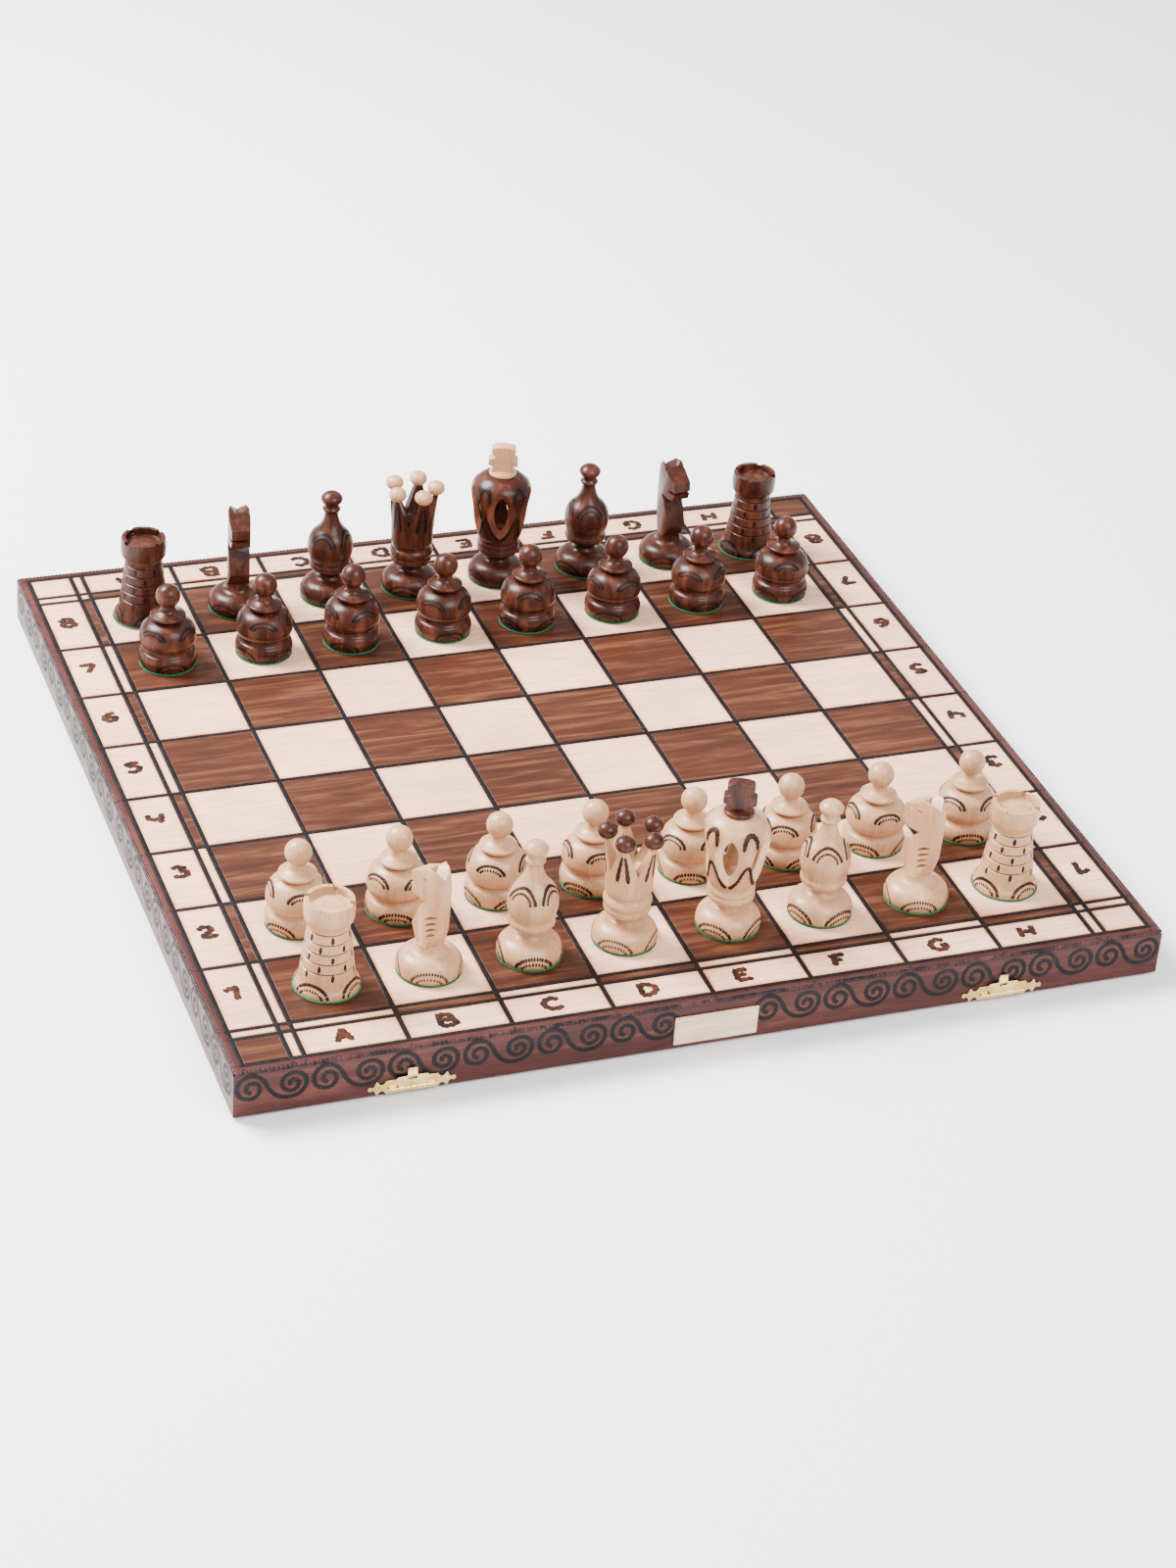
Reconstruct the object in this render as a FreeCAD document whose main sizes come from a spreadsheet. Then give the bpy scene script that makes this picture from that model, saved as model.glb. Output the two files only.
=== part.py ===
import FreeCAD, Part
import math
import os
import Sketcher

# Folding wooden chess set: two hinged half boards that close into a box, two brass
# clasps, and thirty-two turned men with felt under their feet.
# Frame: +X runs from the a file to the h file, +Y from White to Black, +Z up.
# The origin is under the middle of the open board, level with the hinge knuckles.

doc = FreeCAD.newDocument("chess_set")
sheet = doc.addObject("Spreadsheet::Sheet", "sizes")
sheet_rows = []


def size(alias, value, note):
    """One driving dimension: a label, its value as text, and the alias that others bind to."""
    row = len(sheet_rows) + 1
    sheet_rows.append(alias)
    sheet.set("A%d" % row, note)
    sheet.set("B%d" % row, str(value))
    sheet.setAlias("B%d" % row, alias)


def ref(alias):
    return "sizes." + alias


# ---------------------------------------------------------------- board sizes
size("square", 57.3, "side of one playing square")
size("strip", 7.2, "narrow strip round the playing field")
size("cell_side", 26.5, "digit cells at the left and right")
size("cell_end", 22.9, "letter cells at the front and back")
size("edge", 6.5, "outer strip, the top edge of the rails")
size("board_height", 28.7, "rim to playing surface")
size("panel_thick", 4.0, "plywood panel")
size("rail_thick", 10.0, "frame rail")
size("lining_thick", 1.5, "felt lining in the tray")
size("seam_gap", 0.3, "gap between the open halves")
size("closed_gap", 0.3, "gap between the rims when folded")
size("overcut", 1.0, "how far a cutting shape runs past the wood or brass it cuts")

size("half_length", "=4 * square + strip + cell_side + edge", "centre to left or right face")
size("half_depth", "=4 * square + strip + cell_end + edge", "seam to front or back face")

# ------------------------------------------------------------------- hinges
size("knuckle_rad", 1.5, "board hinge knuckle")
size("hinge_pin_rad", 0.7, "board hinge pin")
size("pin_play", 0.05, "radial play of a pin in its bore")
size("leaf_thick", 0.8, "hinge leaf")
size("leaf_deep", 8.5, "hinge leaf, out from the seam")
size("hinge_long", 40.0, "length of one hinge")
size("hinge_at", 135.0, "hinge centre from the middle of the board")
size("knuckle_play", 0.2, "gap between neighbouring knuckles")
size("leaf_clear", 0.25, "leaf edge to the other leaf's knuckle")
size("recess_clear", 0.4, "room round a knuckle in the wood")
size("screw_rad", 1.0, "hinge screw shank")
size("screw_head_rad", 1.9, "hinge screw head")
size("screw_long", 9.0, "hinge screw length")
size("screw_play", 0.05, "screw to its hole")

size("axis_up", "=knuckle_rad", "fold axis above the knuckles' underside")
size("rim_up", "=axis_up + closed_gap / 2", "rims of the open halves")
size("top_up", "=rim_up + board_height", "playing surface")

# ------------------------------------------------------------------- clasps
size("clasp_at", "=3 * square", "clasp centre from the middle of the board")
size("clasp_plate_long", 34.0, "straight part of the clasp plate")
size("clasp_plate_high", 8.5, "clasp plate height")
size("clasp_plate_lift", 0.6, "plate above the rim")
size("brass_thick", 0.8, "clasp and catch sheet")
size("clasp_end_rad", 3.2, "scrolled end of the plate")
size("clasp_tip_rad", 1.6, "button at the tip")
size("clasp_half_long", 24.4, "clasp centre to the tip")
size("clasp_pin_up", 3.8, "clasp pin above the rim")
size("clasp_pin_out", 1.4, "clasp pin out from the rail")
size("clasp_pin_rad", 0.5, "clasp pin")
size("clasp_knuckle_rad", 1.0, "clasp knuckle")
size("clasp_knuckle_long", 3.0, "end knuckle on the plate")
size("hasp_wide", 20.5, "swinging hasp")
size("hasp_high", 7.6, "hasp above its pin")
size("hasp_side_play", 0.3, "hasp to plate knuckle")
size("hasp_window_play", 0.4, "hasp knuckle to plate window")
size("hasp_slot_up", 6.0, "slot above the pin")
size("hasp_slot_wide", 5.0, "slot width")
size("hasp_slot_high", 1.6, "slot height")
size("tongue_wide", 5.5, "finger tongue on the hasp")
size("tongue_high", 4.6, "finger tongue length")
size("tongue_root", 0.1, "finger tongue let into the hasp")
size("tongue_lean", 9.0, "finger tongue lean, degrees")
size("nail_rad", 0.5, "brass nail")
size("nail_long", 6.0, "nail length behind its head")
size("nail_head_rad", 1.1, "nail head")
size("nail_head_thick", 0.4, "nail head thickness")
size("nail_play", 0.05, "nail to its hole")
size("catch_wide", 16.0, "catch plate width")
size("catch_high", 8.0, "catch plate height")
size("prong_inset", 2.0, "prong in from the end of the catch plate")
size("catch_lift", 0.5, "catch plate above the rim")
size("catch_nub_out", 2.4, "catch nub out from the rail")
size("catch_slot_play", 0.3, "nub to slot, all round")
size("name_plate_wide", 48.5, "blank name plate width")
size("name_plate_high", 18.0, "blank name plate height")
size("name_plate_lift", 3.0, "blank name plate above the rim")
size("name_plate_thick", 1.0, "blank name plate thickness")

# -------------------------------------------------------------------- men
size("men_scale", 1.0, "size of all men together")
size("felt_thick", 1.0, "felt under a man")
size("felt_out", 0.8, "felt edge beyond the foot")

# Each man is turned from a row of rings, foot first: ring name, radius, height above the
# playing surface, and how far the outline bows on its way to the next ring, in degrees of
# arc (+ bulges out, - hollows in, 0 is straight). ROUND is an arc centred on the axis, which
# closes the outline as a ball does or, going down, as a bowl does.
ROUND = "round"
DOME_FOOT = [
    ("foot", 17.4, 1.0, 40),
    ("widest", 18.4, 4.5, 82),
    ("shoulder", 10.2, 13.1, -62),
]
TURNED = {
    "pawn": [
        ("foot", 16.6, 1.0, 60),
        ("toe", 16.4, 10.2, -60),
        ("waist", 14.6, 13.2, 70),
        ("belly", 17.2, 20.4, 84),
        ("throat", 7.8, 30.8, -40),
        ("collar", 10.6, 32.8, 120),
        ("collar_top", 9.8, 34.8, 0),
        ("nape", 5.6, 36.4, -50),
        ("neck", 4.2, 40.4, 56),
        ("head", 7.5, 46.7, ROUND),
        ("crown", 0.0, 54.3, 0),
    ],
    "rook": [
        ("foot", 18.2, 1.0, 30),
        ("toe", 17.6, 4.2, -40),
        ("step", 15.3, 9.2, 0),
        ("tower", 11.5, 38.6, -40),
        ("corbel", 13.5, 44.2, 20),
        ("rim", 13.5, 55.6, 0),
        ("rim_in", 11.0, 55.6, 0),
        ("well", 10.4, 52.0, ROUND),
        ("floor", 0.0, 50.8, 0),
    ],
    "bishop": DOME_FOOT + [
        ("waist", 6.5, 16.1, -60),
        ("flange", 12.2, 21.3, 80),
        ("flange_top", 12.4, 25.8, -20),
        ("skirt", 12.8, 28.5, 26),
        ("belly", 14.2, 37.2, 46),
        ("breast", 10.0, 47.0, -44),
        ("neck", 4.2, 59.6, 0),
        ("collar", 5.4, 61.4, 90),
        ("collar_top", 5.2, 62.9, 0),
        ("cap_neck", 4.6, 64.1, 60),
        ("cap", 6.8, 69.1, ROUND),
        ("crown", 0.0, 73.9, 0),
    ],
    "queen": DOME_FOOT + [
        ("waist", 6.7, 15.7, -60),
        ("ring_foot", 11.4, 19.4, 90),
        ("ring_mid", 12.5, 24.6, 90),
        ("ring_top", 12.6, 29.8, -70),
        ("groove", 12.0, 32.0, 40),
        ("bodice", 13.2, 35.6, -8),
        ("rim", 15.4, 66.2, 0),
        ("rim_in", 12.4, 66.2, -14),
        ("well", 7.4, 48.6, ROUND),
        ("floor", 0.0, 45.1, 0),
    ],
    "king": DOME_FOOT + [
        ("waist", 7.2, 15.5, -60),
        ("ring_foot", 11.9, 19.2, 90),
        ("ring_mid", 12.9, 24.2, 60),
        ("ring_top", 12.9, 27.9, -60),
        ("bodice", 13.6, 31.2, 6),
        ("flank", 17.8, 50.7, 16),
        ("widest_up", 18.9, 63.6, 50),
        ("brow", 15.2, 70.8, 34),
        ("seat", 9.2, 74.1, 0),
        ("peg_hole", 0.0, 74.1, 0),
    ],
    "knight": DOME_FOOT + [
        ("neck", 7.2, 16.9, 0),
        ("saddle", 7.2, 18.8, 0),
        ("saddle_in", 0.0, 18.8, 0),
    ],
}
# Hollow of the king's lantern body, in the same form.
TURNED["king_hollow"] = [
    ("foot", 9.6, 33.1, 10),
    ("flank", 13.6, 51.7, 16),
    ("brow", 13.2, 63.1, ROUND),
    ("crown", 0.0, 69.9, 0),
]
for man, rings in TURNED.items():
    for ring, radius, height, bow in rings:
        if radius:
            size("%s_%s_rad" % (man, ring), radius, "%s: radius at the %s" % (man, ring))
        size("%s_%s_high" % (man, ring), height, "%s: height of the %s" % (man, ring))

# Side outline of the knight's head, sawn from a plank: point, forward of the axis, height.
KNIGHT_SIDE = [
    ("heel", -5.4, 18.2),
    ("back", -10.6, 32.0),
    ("mane", -12.0, 57.9),
    ("poll", -10.4, 64.5),
    ("ear", -6.6, 68.5),
    ("ear_tip", -1.6, 68.5),
    ("brow", 0.8, 65.6),
    ("nose", 11.8, 59.8),
    ("lip", 12.6, 54.0),
    ("mouth_up", 6.2, 53.6),
    ("mouth_low", 6.2, 52.3),
    ("chin_tip", 12.2, 51.9),
    ("chin", 10.6, 47.8),
    ("jaw", 6.8, 47.0),
    ("throat", -2.6, 48.2),
    ("breast_up", 1.8, 43.6),
    ("breast", 9.4, 27.5),
    ("toe", 3.8, 18.2),
]
for point, forward, height in KNIGHT_SIDE:
    size("knight_%s_fore" % point, forward, "knight's head: %s, forward of the axis" % point)
    size("knight_%s_up" % point, height, "knight's head: %s, height" % point)
size("plank_thick", 13.4, "thickness of the knight's head")
size("mane_thick", 7.0, "thickness at the back of the mane")
size("muzzle_thick", 11.4, "thickness at the muzzle")
size("cheek_fore", -1.0, "where the mane bevel starts, forward of the axis")
size("bridge_fore", 4.0, "where the muzzle starts to narrow")
size("ear_cleft_fore", 0.0, "front end of the cleft between the ears")
size("ear_cleft_up", 63.6, "bottom of the cleft between the ears")

size("notch_wide", 3.4, "rook: crenel width")
size("notch_deep", 3.2, "rook: crenel depth")
size("point_half", 2.3, "queen: half width of a crown point")
size("cut_low_up", 49.0, "queen: foot of the cuts between the points")
size("cut_foot_half", 0.05, "queen: half width of a cut at its foot")
size("cut_past_rim", 0.1, "queen: how far a cut runs past the rim, as a share of its depth")
size("ball_rad", 5.6, "queen: ball radius")
size("ball_half_high", 4.7, "queen: ball half height")
size("ball_flat", 64.0, "queen: latitude of the flat under a ball, degrees")
size("ball_ring_rad", 13.9, "queen: circle through the balls")
size("window_up", 51.6, "king: middle of the windows")
size("window_half_high", 17.0, "king: half height of a window")
size("window_half_wide", 6.4, "king: half width of a window")
size("finial_disc_rad", 8.6, "king: finial disc")
size("finial_disc_thick", 2.6, "king: finial disc thickness")
size("finial_thick", 8.0, "king: finial cross thickness")
size("finial_waist", 4.6, "king: half width between foot and arms")
size("finial_arm_half", 9.3, "king: half span of the arms")
size("finial_arm_low", 8.2, "king: underside of the arms above the disc's seat")
size("finial_arm_high", 4.4, "king: height of the arms")
size("finial_cap_rad", 7.8, "king: radius of the rounded cap")
size("finial_cap_up", 14.6, "king: centre of the cap above the disc's seat")
size("finial_cap_flat", 5.4, "king: crown of the cap above its centre")
doc.recompute()


def value(alias):
    return float(sheet.get(alias))


# ---------------------------------------------------------------- builders
def bind(thing, expressions):
    for prop, expression in expressions.items():
        thing.setExpression(prop, expression)
    return thing


def expand(expression):
    """Words that are aliases become references to the sheet."""
    out = ""
    word = ""
    for letter in expression + " ":
        if letter.isalnum() or letter == "_":
            word += letter
            continue
        out += ref(word) if word in sheet_rows else word
        out += letter
        word = ""
    return out.strip()


def place(thing, at, spin=None):
    """Bind a thing's place, after a fixed turn (axis, degrees) if one is given."""
    if spin:
        thing.Placement = FreeCAD.Placement(FreeCAD.Vector(), FreeCAD.Rotation(spin[0], spin[1]))
    for axis, expression in zip("xyz", at):
        thing.setExpression("Placement.Base." + axis, expand(expression))
    return thing


X_AXIS = FreeCAD.Vector(1, 0, 0)
Y_AXIS = FreeCAD.Vector(0, 1, 0)
Z_AXIS = FreeCAD.Vector(0, 0, 1)
ALONG_X = (Y_AXIS, 90)
ALONG_Y = (X_AXIS, -90)
ALONG_MINUS_Y = (X_AXIS, 90)


def box(name, low, sides, spin=None):
    made = doc.addObject("Part::Box", name)
    bind(made, {"Length": expand(sides[0]), "Width": expand(sides[1]), "Height": expand(sides[2])})
    return place(made, low, spin)


def cylinder(name, at, radius, long, spin=None):
    made = doc.addObject("Part::Cylinder", name)
    bind(made, {"Radius": expand(radius), "Height": expand(long)})
    return place(made, at, spin)


def cone(name, at, radius_1, radius_2, long, spin=None):
    made = doc.addObject("Part::Cone", name)
    bind(made, {"Radius1": expand(radius_1), "Radius2": expand(radius_2), "Height": expand(long)})
    return place(made, at, spin)


def cut(name, base, tools):
    made = doc.addObject("Part::Cut", name)
    made.Base = base
    made.Tool = tools[0] if len(tools) == 1 else fuse(name + "_tools", tools)
    return made


def fuse(name, parts):
    made = doc.addObject("Part::MultiFuse", name)
    made.Shapes = parts
    return made


def common(name, parts):
    made = doc.addObject("Part::MultiCommon", name)
    made.Shapes = parts
    return made


def group(name, parts):
    """Separate solids kept together in one sub-part."""
    made = doc.addObject("Part::Compound", name)
    made.Links = parts
    return made


sub_parts = []


def keep(thing, label):
    """Name a finished sub-part; the label is also its file's name."""
    thing.Label = label
    sub_parts.append(thing)
    return thing


def outward(side, near, far):
    """Low edge and width of a stretch that runs from near to far out from the seam."""
    low = "-(%s)" % far if side < 0 else near
    return low, "(%s) - (%s)" % (far, near)


# ------------------------------------------------------------------ frames
def mitred_rail(name, side_length, face, square_end, turn):
    """A rail with its outer face on -Y: mitred at -X always, at +X unless it ends at the seam."""
    made = doc.addObject("Part::Wedge", name)
    far_end = "-seam_gap / 2" if square_end else side_length
    far_end_in = "-seam_gap / 2" if square_end else side_length + " - rail_thick"
    bind(made, {
        "Xmin": expand("-" + side_length), "Xmax": expand(far_end),
        "X2min": expand("-%s + rail_thick" % side_length), "X2max": expand(far_end_in),
        "Ymin": expand("-" + face), "Ymax": expand("-%s + rail_thick" % face),
        "Zmin": expand("rim_up"), "Zmax": expand("top_up"),
        "Z2min": expand("rim_up"), "Z2max": expand("top_up"),
    })
    made.Placement = FreeCAD.Placement(FreeCAD.Vector(), FreeCAD.Rotation(Z_AXIS, turn))
    return made


def near_side_rail(name, turn):
    """The side rail that keeps its mitre at the outer corner, for the half on the -Y side."""
    made = doc.addObject("Part::Wedge", name)
    bind(made, {
        "Xmin": expand("seam_gap / 2"), "Xmax": expand("half_depth"),
        "X2min": expand("seam_gap / 2"), "X2max": expand("half_depth - rail_thick"),
        "Ymin": expand("-half_length"), "Ymax": expand("-half_length + rail_thick"),
        "Zmin": expand("rim_up"), "Zmax": expand("top_up"),
        "Z2min": expand("rim_up"), "Z2max": expand("top_up"),
    })
    made.Placement = FreeCAD.Placement(FreeCAD.Vector(), FreeCAD.Rotation(Z_AXIS, turn))
    return made


def panel_box(name, side):
    low, deep = outward(side, "seam_gap / 2", "half_depth - edge")
    return box(name, ("-(half_length - edge)", low, "top_up - panel_thick"),
               ("2 * (half_length - edge)", deep, "panel_thick"))


SCREWS = (-0.36, 0.0, 0.36)      # along one hinge, as shares of its length
KNUCKLES = 5                      # on one hinge: the odd ones belong to the white leaf


def screw_places():
    return [(hinge, share) for hinge in (-1, 1) for share in SCREWS]


def screw_x(hinge, share):
    return "%d * hinge_at + %s * hinge_long" % (hinge, share)


def screw_y(side):
    return "%d * (knuckle_rad + leaf_deep) / 2" % side


def screw(name, side, hinge, share, play):
    """A countersunk screw that points up, its head level with the rim; play makes its hole."""
    at = (screw_x(hinge, share), screw_y(side), "rim_up")
    head = cone(name + "_head", at, "screw_head_rad + " + play, "screw_rad + " + play,
                "screw_head_rad - screw_rad")
    shank = cylinder(name + "_shank", at, "screw_rad + " + play, "screw_long + " + play)
    return fuse(name, [head, shank])


def screw_set(name, side, play):
    return [screw("%s_%d" % (name, number), side, hinge, share, play)
            for number, (hinge, share) in enumerate(screw_places())]


def nail_hole(name, x, up, side):
    at = (x, "%d * half_depth" % side, up)
    return cylinder(name, at, "nail_rad + nail_play", "nail_long + nail_play",
                    ALONG_MINUS_Y if side > 0 else ALONG_Y)


CLASP_SIDES = ((-1, "left"), (1, "right"))
clasp_mid_up = "rim_up + clasp_plate_lift + clasp_plate_high / 2"
clasp_pin_height = "rim_up + clasp_pin_up"
nail_out = "clasp_half_long - clasp_tip_rad - clasp_end_rad"
prong_out = "catch_wide / 2 - prong_inset"
catch_mid_up = "rim_up + catch_lift + catch_high / 2"


def clasp_nail_places():
    return [(side, end) for side, word in CLASP_SIDES for end in (-1, 1)]


def build_half(colour, side):
    """One half board: panel, lining and four rails. side is -1 for White, +1 for Black."""
    keep(panel_box(colour + "_panel", side), colour + "_panel")

    low, deep = outward(side, "seam_gap / 2 + rail_thick", "half_depth - rail_thick")
    inner = "half_length - rail_thick"
    lining = box(colour + "_lining", ("-(%s)" % inner, low, "top_up - panel_thick - lining_thick"),
                 ("2 * (%s)" % inner, deep, "lining_thick"))
    keep(lining, colour + "_lining")

    # End rail: front of the white half, back of the black half.
    end_name = "white_front_rail" if side < 0 else "black_back_rail"
    end_rail = mitred_rail(end_name + "_blank", "half_length", "half_depth", False,
                           0 if side < 0 else 180)
    tools = [panel_box(end_name + "_rebate", side)]
    if side < 0:
        for number, (clasp, end) in enumerate(clasp_nail_places()):
            x = "%d * clasp_at + %d * (%s)" % (clasp, end, nail_out)
            tools.append(nail_hole("%s_nail_hole_%d" % (end_name, number), x, clasp_mid_up, side))
    else:
        for number, (clasp, end) in enumerate(clasp_nail_places()):
            x = "%d * clasp_at + %d * (%s)" % (clasp, end, prong_out)
            tools.append(nail_hole("%s_prong_hole_%d" % (end_name, number), x, catch_mid_up, side))
    keep(cut(end_name, end_rail, tools), end_name)

    # Side rails, mitred into the end rail and square at the seam.
    for across, word in CLASP_SIDES:
        name = "%s_%s_rail" % (colour, word)
        if across == side:
            blank = near_side_rail(name + "_blank", -90 if side < 0 else 90)
        else:
            blank = mitred_rail(name + "_blank", "half_depth", "half_length", True,
                                90 if side < 0 else -90)
        keep(cut(name, blank, [panel_box(name + "_rebate", side)]), name)

    # Hinge rail along the seam, let in for the leaves, knuckles and screws.
    name = colour + "_hinge_rail"
    low, deep = outward(side, "seam_gap / 2", "seam_gap / 2 + rail_thick")
    blank = box(name + "_blank", ("-(%s)" % inner, low, "rim_up"),
                ("2 * (%s)" % inner, deep, "board_height - panel_thick"))
    tools = screw_set(name + "_pilot", side, "screw_play")
    for hinge, word in CLASP_SIDES:
        start = "%d * hinge_at - hinge_long / 2 - recess_clear" % hinge
        long = "hinge_long + 2 * recess_clear"
        low, deep = outward(side, "0", "leaf_deep")
        tools.append(box("%s_%s_leaf_bed" % (name, word), (start, low, "rim_up - overcut"),
                         (long, deep, "leaf_thick + overcut")))
        tools.append(cylinder("%s_%s_knuckle_bed" % (name, word), (start, "0", "axis_up"),
                              "knuckle_rad + recess_clear", long, ALONG_X))
    keep(cut(name, blank, tools), name)


build_half("white", -1)
build_half("black", 1)


# ------------------------------------------------------------------ hinges
def hinge_leaf(name, side, hinge):
    """A brass leaf in its bed under the rail, with its own share of the knuckles."""
    start = "%d * hinge_at - hinge_long / 2" % hinge
    pitch = "hinge_long / %d" % KNUCKLES
    low, deep = outward(side, "knuckle_rad + leaf_clear", "leaf_deep")
    parts = [box(name + "_flat", (start, low, "rim_up"), ("hinge_long", deep, "leaf_thick"))]
    for number in range(KNUCKLES):
        if (number % 2 == 0) != (side < 0):
            continue
        x = "%s + %d * %s + knuckle_play / 2" % (start, number, pitch)
        long = "%s - knuckle_play" % pitch
        tag = "%s_%d" % (name, number)
        low, deep = outward(side, "0", "knuckle_rad + 2 * leaf_clear")
        parts.append(box(tag + "_bridge", (x, low, "rim_up"), (long, deep, "leaf_thick")))
        parts.append(cylinder(tag + "_knuckle", (x, "0", "axis_up"), "knuckle_rad", long, ALONG_X))
    bore = cylinder(name + "_bore", (start + " - overcut", "0", "axis_up"),
                    "hinge_pin_rad + pin_play", "hinge_long + 2 * overcut", ALONG_X)
    holes = [screw("%s_hole_%d" % (name, number), side, hinge, share, "screw_play")
             for number, share in enumerate(SCREWS)]
    return cut(name, fuse(name + "_solid", parts), [bore] + holes)


for colour, side in (("white", -1), ("black", 1)):
    leaves = [hinge_leaf("%s_leaf_%s" % (colour, word), side, hinge) for hinge, word in CLASP_SIDES]
    keep(group(colour + "_hinge_leaves", leaves), colour + "_hinge_leaves")
    screws = screw_set(colour + "_screw", side, "0")
    keep(group(colour + "_hinge_screws", screws), colour + "_hinge_screws")

pins = [cylinder("hinge_pin_" + word, ("%d * hinge_at - hinge_long / 2" % hinge, "0", "axis_up"),
                 "hinge_pin_rad", "hinge_long", ALONG_X) for hinge, word in CLASP_SIDES]
keep(group("hinge_pins", pins), "hinge_pins")


# ------------------------------------------------------------------ clasps
def clasp_plate(word, clasp):
    """The fixed plate: straight middle, scrolled ends, a window for the hasp's knuckle."""
    name = "clasp_plate_" + word
    mid = "%d * clasp_at" % clasp
    face = "-half_depth - brass_thick"
    parts = [box(name + "_middle", (mid + " - clasp_plate_long / 2", face,
                                    "rim_up + clasp_plate_lift"),
                 ("clasp_plate_long", "brass_thick", "clasp_plate_high"))]
    for end in (-1, 1):
        tag = "%s_%s" % (name, "left" if end < 0 else "right")
        scroll = "%s + %d * (%s)" % (mid, end, nail_out)
        tip = "%s + %d * (clasp_half_long - clasp_tip_rad)" % (mid, end)
        parts.append(cylinder(tag + "_scroll", (scroll, "-half_depth", clasp_mid_up),
                              "clasp_end_rad", "brass_thick", ALONG_MINUS_Y))
        parts.append(cylinder(tag + "_tip", (tip, "-half_depth", clasp_mid_up),
                              "clasp_tip_rad", "brass_thick", ALONG_MINUS_Y))
        neck_low = scroll if end > 0 else tip
        parts.append(box(tag + "_neck", (neck_low, face, clasp_mid_up + " - clasp_tip_rad / 2"),
                         ("clasp_end_rad", "brass_thick", "clasp_tip_rad")))
        inner = "hasp_wide / 2 + hasp_side_play"
        knuckle_low = "%s + %s" % (mid, inner) if end > 0 else \
            "%s - (%s) - clasp_knuckle_long" % (mid, inner)
        parts.append(cylinder(tag + "_knuckle", (knuckle_low, "-half_depth - clasp_pin_out",
                                                 clasp_pin_height),
                              "clasp_knuckle_rad", "clasp_knuckle_long", ALONG_X))
    half_window = "clasp_knuckle_rad + hasp_window_play"
    window = box(name + "_window", (mid + " - hasp_wide / 2 - hasp_side_play", face + " - overcut",
                                    "%s - (%s)" % (clasp_pin_height, half_window)),
                 ("hasp_wide + 2 * hasp_side_play", "brass_thick + overcut",
                  "2 * (%s)" % half_window))
    reach = "hasp_wide / 2 + hasp_side_play + clasp_knuckle_long"
    bore = cylinder(name + "_bore", ("%s - (%s) - overcut" % (mid, reach),
                                     "-half_depth - clasp_pin_out", clasp_pin_height),
                    "clasp_pin_rad + pin_play", "2 * (%s) + 2 * overcut" % reach, ALONG_X)
    holes = []
    for end in (-1, 1):
        at = ("%s + %d * (%s)" % (mid, end, nail_out), "-half_depth + overcut", clasp_mid_up)
        holes.append(cylinder("%s_hole_%d" % (name, end + 1), at, "nail_rad + nail_play",
                              "brass_thick + 2 * overcut", ALONG_MINUS_Y))
    rail_side = box(name + "_rail_side", (mid + " - clasp_half_long", "-half_depth",
                                          "rim_up"),
                    ("2 * clasp_half_long", "clasp_knuckle_rad", "2 * clasp_plate_high"))
    return cut(name, fuse(name + "_solid", parts), [window, bore, rail_side] + holes)


def hasp(word, clasp):
    """The swinging hasp, stored folded up against the rail, with a slot and a finger tongue."""
    name = "hasp_" + word
    mid = "%d * clasp_at" % clasp
    face = "-half_depth - clasp_pin_out - brass_thick / 2"
    flap = box(name + "_flap", (mid + " - hasp_wide / 2", face, clasp_pin_height),
               ("hasp_wide", "brass_thick", "hasp_high"))
    knuckle = cylinder(name + "_knuckle", (mid + " - hasp_wide / 2",
                                           "-half_depth - clasp_pin_out", clasp_pin_height),
                       "clasp_knuckle_rad", "hasp_wide", ALONG_X)
    tongue = box(name + "_tongue", (mid + " - tongue_wide / 2", face,
                                    clasp_pin_height + " + hasp_high - tongue_root"),
                 ("tongue_wide", "brass_thick", "tongue_high"),
                 (X_AXIS, -value("tongue_lean")))
    slot = box(name + "_slot", (mid + " - hasp_slot_wide / 2", face + " - overcut",
                                clasp_pin_height + " + hasp_slot_up - hasp_slot_high / 2"),
               ("hasp_slot_wide", "brass_thick + 2 * overcut", "hasp_slot_high"))
    bore = cylinder(name + "_bore", (mid + " - hasp_wide / 2 - overcut",
                                     "-half_depth - clasp_pin_out", clasp_pin_height),
                    "clasp_pin_rad + pin_play", "hasp_wide + 2 * overcut", ALONG_X)
    return cut(name, fuse(name + "_solid", [flap, knuckle, tongue]), [slot, bore])


def catch_plate(word, clasp):
    """The keeper on the far rail: a plate, a nub for the hasp's slot, and two prongs."""
    name = "catch_" + word
    mid = "%d * clasp_at" % clasp
    plate = box(name + "_plate", (mid + " - catch_wide / 2", "half_depth", "rim_up + catch_lift"),
                ("catch_wide", "brass_thick", "catch_high"))
    nub_high = "hasp_slot_high - 2 * catch_slot_play"
    nub_mid = "2 * axis_up - (%s) + hasp_slot_up" % clasp_pin_height
    nub = box(name + "_nub", (mid + " - hasp_slot_wide / 2 + catch_slot_play", "half_depth",
                              "%s - (%s) / 2" % (nub_mid, nub_high)),
              ("hasp_slot_wide - 2 * catch_slot_play", "catch_nub_out", nub_high))
    parts = [plate, nub]
    for end in (-1, 1):
        at = ("%s + %d * (%s)" % (mid, end, prong_out), "half_depth + brass_thick / 2", catch_mid_up)
        parts.append(cylinder("%s_prong_%d" % (name, end + 1), at, "nail_rad",
                              "nail_long + brass_thick / 2", ALONG_MINUS_Y))
    return fuse(name, parts)


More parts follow.
